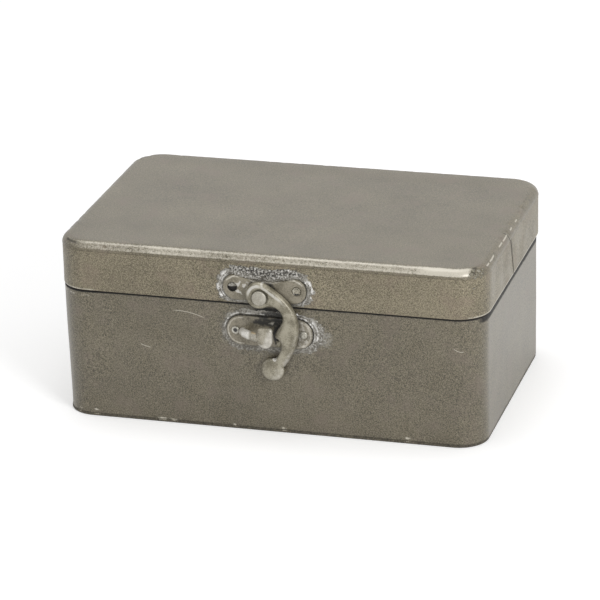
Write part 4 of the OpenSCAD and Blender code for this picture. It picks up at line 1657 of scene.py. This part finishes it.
# Rivet
# A flat-headed rivet through the hook and the upper plate, set so that the
# hook still turns. Its head is hammered and a little dished.
rivet_low, rivet_high = limits("hook_rivet")
head_front = lid_face - rivet_low.y
head_r = (rivet_high.x - rivet_low.x) / 2
head_t = 0.85
shank_r = 1.15
rivet = turned("rivet", [
    (shank_r, 0.0), (shank_r, head_front - head_t), (head_r - 0.1, head_front - head_t),
    (head_r, head_front - head_t + 0.12), (head_r, head_front - 0.3), (head_r - 0.08, head_front - 0.12),
    (head_r - 0.3, head_front - 0.01), (head_r - 0.8, head_front), (1.0, head_front - 0.05),
    (0.05, head_front - 0.08),
], pivot, count=40)
rivet.data.materials.append(cast_metal("rivet_metal", srgb(178, 174, 162), srgb(146, 141, 128)))
seen = points_of(rivet)
# Painted shade round the side of the rivet's head.
mark(rivet, "grime_and_shade", 0.9 * fade(lid_face - seen[:, 1], head_front - 0.4, head_front - 0.8))
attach(rivet, "lid")
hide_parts("hook_rivet")


# Hook
# One casting: a round head, a throat that closes over the catch, a bowed arm
# with rounded shoulders, and a knob for the finger. The mould left a nub under
# the nose. Its right-hand side is painted lighter, as lit from the right, with
# painted highlights on its edges and painted shade round it.
hook_head = pivot + (-0.5, 0.4)
hook_head_r = 4.7
throat = pivot + (3.45, -7.24)
throat_r = 3.95
nose = pivot + (5.32, -13.4)
nose_r = 0.9
knob = pivot + (3.3, -25.9)
knob_r = 4.0
hook_back, hook_front = 1.3, 3.68
knob_back, knob_front = 0.42, 2.95
arm_edge = 0.75
shoulder_r = 1.45


def arc_through(start, middle, end):
    """Points along the arc through three places."""
    start, middle, end = (pivot + place for place in (start, middle, end))
    sides = np.array([middle - start, end - start])
    squares = np.array([middle @ middle - start @ start, end @ end - start @ start]) / 2
    centre = np.linalg.solve(sides, squares)
    turns = [math.degrees(math.atan2(*(place - centre)[::-1])) for place in (start, end)]
    return arc(centre, np.linalg.norm(start - centre), *turns)


outer_side = np.concatenate([
    arc_through((7.1, -25.0), (10.6, -19.4), (12.6, -12.0)),
    arc_through((12.6, -12.0), (11.55, -4.9), (7.8, 0.15)),
    arc_through((7.8, 0.15), (4.95, 2.35), (1.9, 4.3)),
])
hook_loop = soften(np.concatenate([
    arc(hook_head, hook_head_r, 72, 290),
    arc(throat, throat_r, 112, -28),
    arc(nose, nose_r, 140, 236),
    [pivot + (6.3, -15.2), pivot + (6.7, -16.8), pivot + (6.2, -18.8), pivot + (5.0, -21.4)],
    arc(knob, knob_r * 0.8, 90, 360),
    outer_side,
]), 0.32, 4)


def arm_slope(z):
    """How far the arm has come back towards the case, at a height."""
    return fade(pivot[1] - 13.0 - z, 0, 13.0) * 1.05


def hook_shape(x, z, depth):
    """Distance out of the hook's front."""
    arm = hook_back + arm_edge + (hook_front - hook_back - arm_edge) * shoulder(depth, shoulder_r)
    arm = arm - arm_slope(z) - 0.12 * ripple(in_plane(x, z), 2.0, 14.0) * fade(depth, 0.2, 1.0)
    ring = np.hypot(x - pivot[0], z - pivot[1])
    return arm - 0.3 * fade(ring, 3.1, 2.6)


arm_piece = relief(
    "arm", [hook_loop], 0.6, hook_shape,
    lambda x, z: hook_back - 0.8 * arm_slope(z),
)
knob_rise = knob_front - knob_back
knob_profile = [(knob_r - 0.5, knob_back), (knob_r - 0.12, knob_back + 0.25)] + [
    (knob_r * math.cos(a), knob_back + 0.9 + (knob_rise - 0.9) * math.sin(a))
    for a in np.radians([0, 12, 25, 40, 55, 70, 82, 89])
]
knob_piece = turned("knob", knob_profile, knob, count=44)
nub = dab((4.45, lid_face - 1.9, 33.0), (1.15, 0.75, 1.1), 2.0)
hook = cast_whole(join("hook_casting", [arm_piece, knob_piece, nub]), 0.16, 4)
hook.data.materials.append(cast_metal("hook_metal", srgb(158, 152, 134), srgb(108, 102, 84)))
seen = points_of(hook)
x, z = seen[:, 0], seen[:, 2]
out = lid_face - seen[:, 1]
from_outer = np.min([np.hypot(x - place[0], z - place[1]) for place in outer_side], axis=0)
from_head = hook_head_r - np.hypot(x - hook_head[0], z - hook_head[1])
upper_left = fade(x - pivot[0], 3.0, -1.0) * fade(z - pivot[1], -2.0, 2.0)
to_knob = np.stack([x - knob[0], z - knob[1]], 1)
knob_away = np.hypot(to_knob[:, 0], to_knob[:, 1])
on_knob = fade(knob_away, 4.6, 3.4)
low_right = fade(to_knob @ (0.8, -0.6), -3.0, 3.5)
# Painted light on the right of the arm, as lit from the right, and low down towards the knob. Below: wear
# with painted highlights along the outer edge near the head and round the head's upper left shoulder, the
# knob lighter to its lower right, and a painted glint on the knob.
lit_right_side = 0.3 * fade(from_outer, 2.6, 0.6) * fade(z, 46, 36) + 0.15 * fade(z, 33, 26) * fade(x, 3, 7)
mark(hook, "wear_and_highlight", strongest(
    (1 - on_knob) * lit_right_side,
    0.55 * band_at(from_outer, 1.3, 0.8) * fade(z, 44, 50),
    0.6 * band_at(from_head, 1.2, 0.9) * upper_left,
    on_knob * (0.05 + 0.36 * low_right), 0.9 * patch(seen, (3.0, 27.4), 1.0, 0.5),
))
inner_edge = fade(from_outer, 4.6, 6.0) * fade(z, 41.5, 39.0) * fade(z, 24, 28)
under_rivet = patch(seen, pivot, 3.4, 2.7) * fade((seen[:, [0, 2]] - pivot) @ (0.7, 0.7), -0.5, 1.5)
# Painted shade on the hook's sides near the plate, round the knob's upper left, along the arm's inner
# edge, in the gap round the rivet and by the nub under the nose.
mark(hook, "grime_and_shade", strongest(
    0.85 * fade(out, hook_back + 0.9, hook_back + 0.2) * (1 - on_knob),
    0.95 * on_knob * fade(out, 2.4, 1.2) * (1 - low_right),
    0.38 * inner_edge, 0.45 * under_rivet, 0.7 * patch(seen, (3.4, 33.2), 1.3, 0.5),
    0.4 * on_knob * fade(to_knob @ (0.7, -0.7), -1.5, -3.6),
))
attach(hook, "hook")
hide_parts("hook")


# Lid leaves of the hinges, and their solder
# The other halves of the two butt hinges, soldered to the back of the skirt.
inner_knuckle = [(-third + knuckle_play, third - knuckle_play)]
for side, hand in ((-1, "left"), (1, "right")):
    lid_leaf = hinge_leaf(hand + "_lid_leaf", side, skirt_high.y, 1, inner_knuckle)
    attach(lid_leaf, "lid")
    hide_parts("hinge_" + hand + "_lid_leaf")
leaf_solder(
    "lid_leaf_solder", "lid", "hinge_lid_solder", skirt_high.y,
    axis_z + leaf_gap, axis_z + leaf_reach, 25.0,
)


# The picture
# A pale floor that runs out to white, soft light from a tent round the box, and
# a long lens to the right of the front, a little above it.
floor_mesh = bpy.data.meshes.new("floor")
reach = 3.0
below_box = 0.1
floor_mesh.from_pydata(
    [(-reach, -reach, 0), (reach, -reach, 0), (reach, reach, 0), (-reach, reach, 0)],
    [], [(0, 1, 2, 3)],
)
floor = add_object("floor", floor_mesh)
floor.location.z = -below_box * MM
white, black = (1, 1, 1, 1), (0, 0, 0, 1)


def seen_straight(start):
    """1 for what the camera or a shiny surface sees, and 0 for the light given."""
    camera_ray = start.node("LightPath", output=0)
    glossy_ray = start.node("LightPath", output=3)
    return camera_ray.maths("MAXIMUM", camera_ray, glossy_ray)


floor_finish, floor_place = new_finish("floor_white")
plain = floor_place.node("BsdfDiffuse", {}, {"Color": (0.88, 0.88, 0.88, 1)})
straight = seen_straight(floor_place)
glow = floor_place.node("Emission", {}, {"Color": white, "Strength": 0.3})
nothing = floor_place.node("Emission", {}, {"Color": black, "Strength": 0.0})
lifted = straight.node("MixShader", {}, {0: straight, 1: nothing, 2: glow})
floor_place.node("OutputMaterial", {}, {"Surface": plain.node("AddShader", {}, {0: plain, 1: lifted})})
floor_mesh.materials.append(floor_finish)

world = bpy.data.worlds.new("tent")
bpy.context.scene.world = world
world.use_nodes = True
world.node_tree.nodes.clear()
sky = Wire(world.node_tree)
straight = seen_straight(sky)
tent_light = sky.node("Background", {}, {"Color": white, "Strength": 0.58})
tent_cloth = sky.node("Background", {}, {"Color": white, "Strength": 1.0})
tent = straight.node("MixShader", {}, {0: straight, 1: tent_light, 2: tent_cloth})
tent.node("OutputWorld", {}, {"Surface": tent})


def soft_lamp(name, place, target, size, power):
    """A large square lamp that faces a point."""
    data = bpy.data.lights.new(name, "AREA")
    data.size, data.energy = size, power
    lamp = add_object(name, data)
    lamp.location = place
    lamp.rotation_euler = (Vector(target) - Vector(place)).to_track_quat("-Z", "Y").to_euler()


box_middle = (0, 0, 0.03)
soft_lamp("tent_top", (-0.1, 0.1, 1.0), box_middle, 0.6, 2.6)
soft_lamp("tent_right", (0.7, -0.66, 0.5), box_middle, 0.35, 4.8)

camera_data = bpy.data.cameras.new("camera")
camera = add_object("camera", camera_data)
bpy.context.scene.camera = camera
camera_data.sensor_width, camera_data.lens = 36.0, 210.52
camera_away = 1208.73
turn, raised, roll = (math.radians(angle) for angle in (16.062, 21.279, -1.345))
target = Vector((-3.542, 5.383, 26.909)) * MM
back = Vector((
    math.sin(turn) * math.cos(raised), -math.cos(turn) * math.cos(raised), math.sin(raised),
))
right = Vector((0, 0, 1)).cross(back).normalized()
up = back.cross(right)
rolled_right = math.cos(roll) * right + math.sin(roll) * up
rolled_up = math.cos(roll) * up - math.sin(roll) * right
camera.matrix_world = Matrix.Translation(target + back * camera_away * MM) @ Matrix(
    (rolled_right, rolled_up, back)
).transposed().to_4x4()
camera_data.clip_start, camera_data.clip_end = 0.05, 20.0
bpy.context.scene.view_settings.view_transform = "Standard"
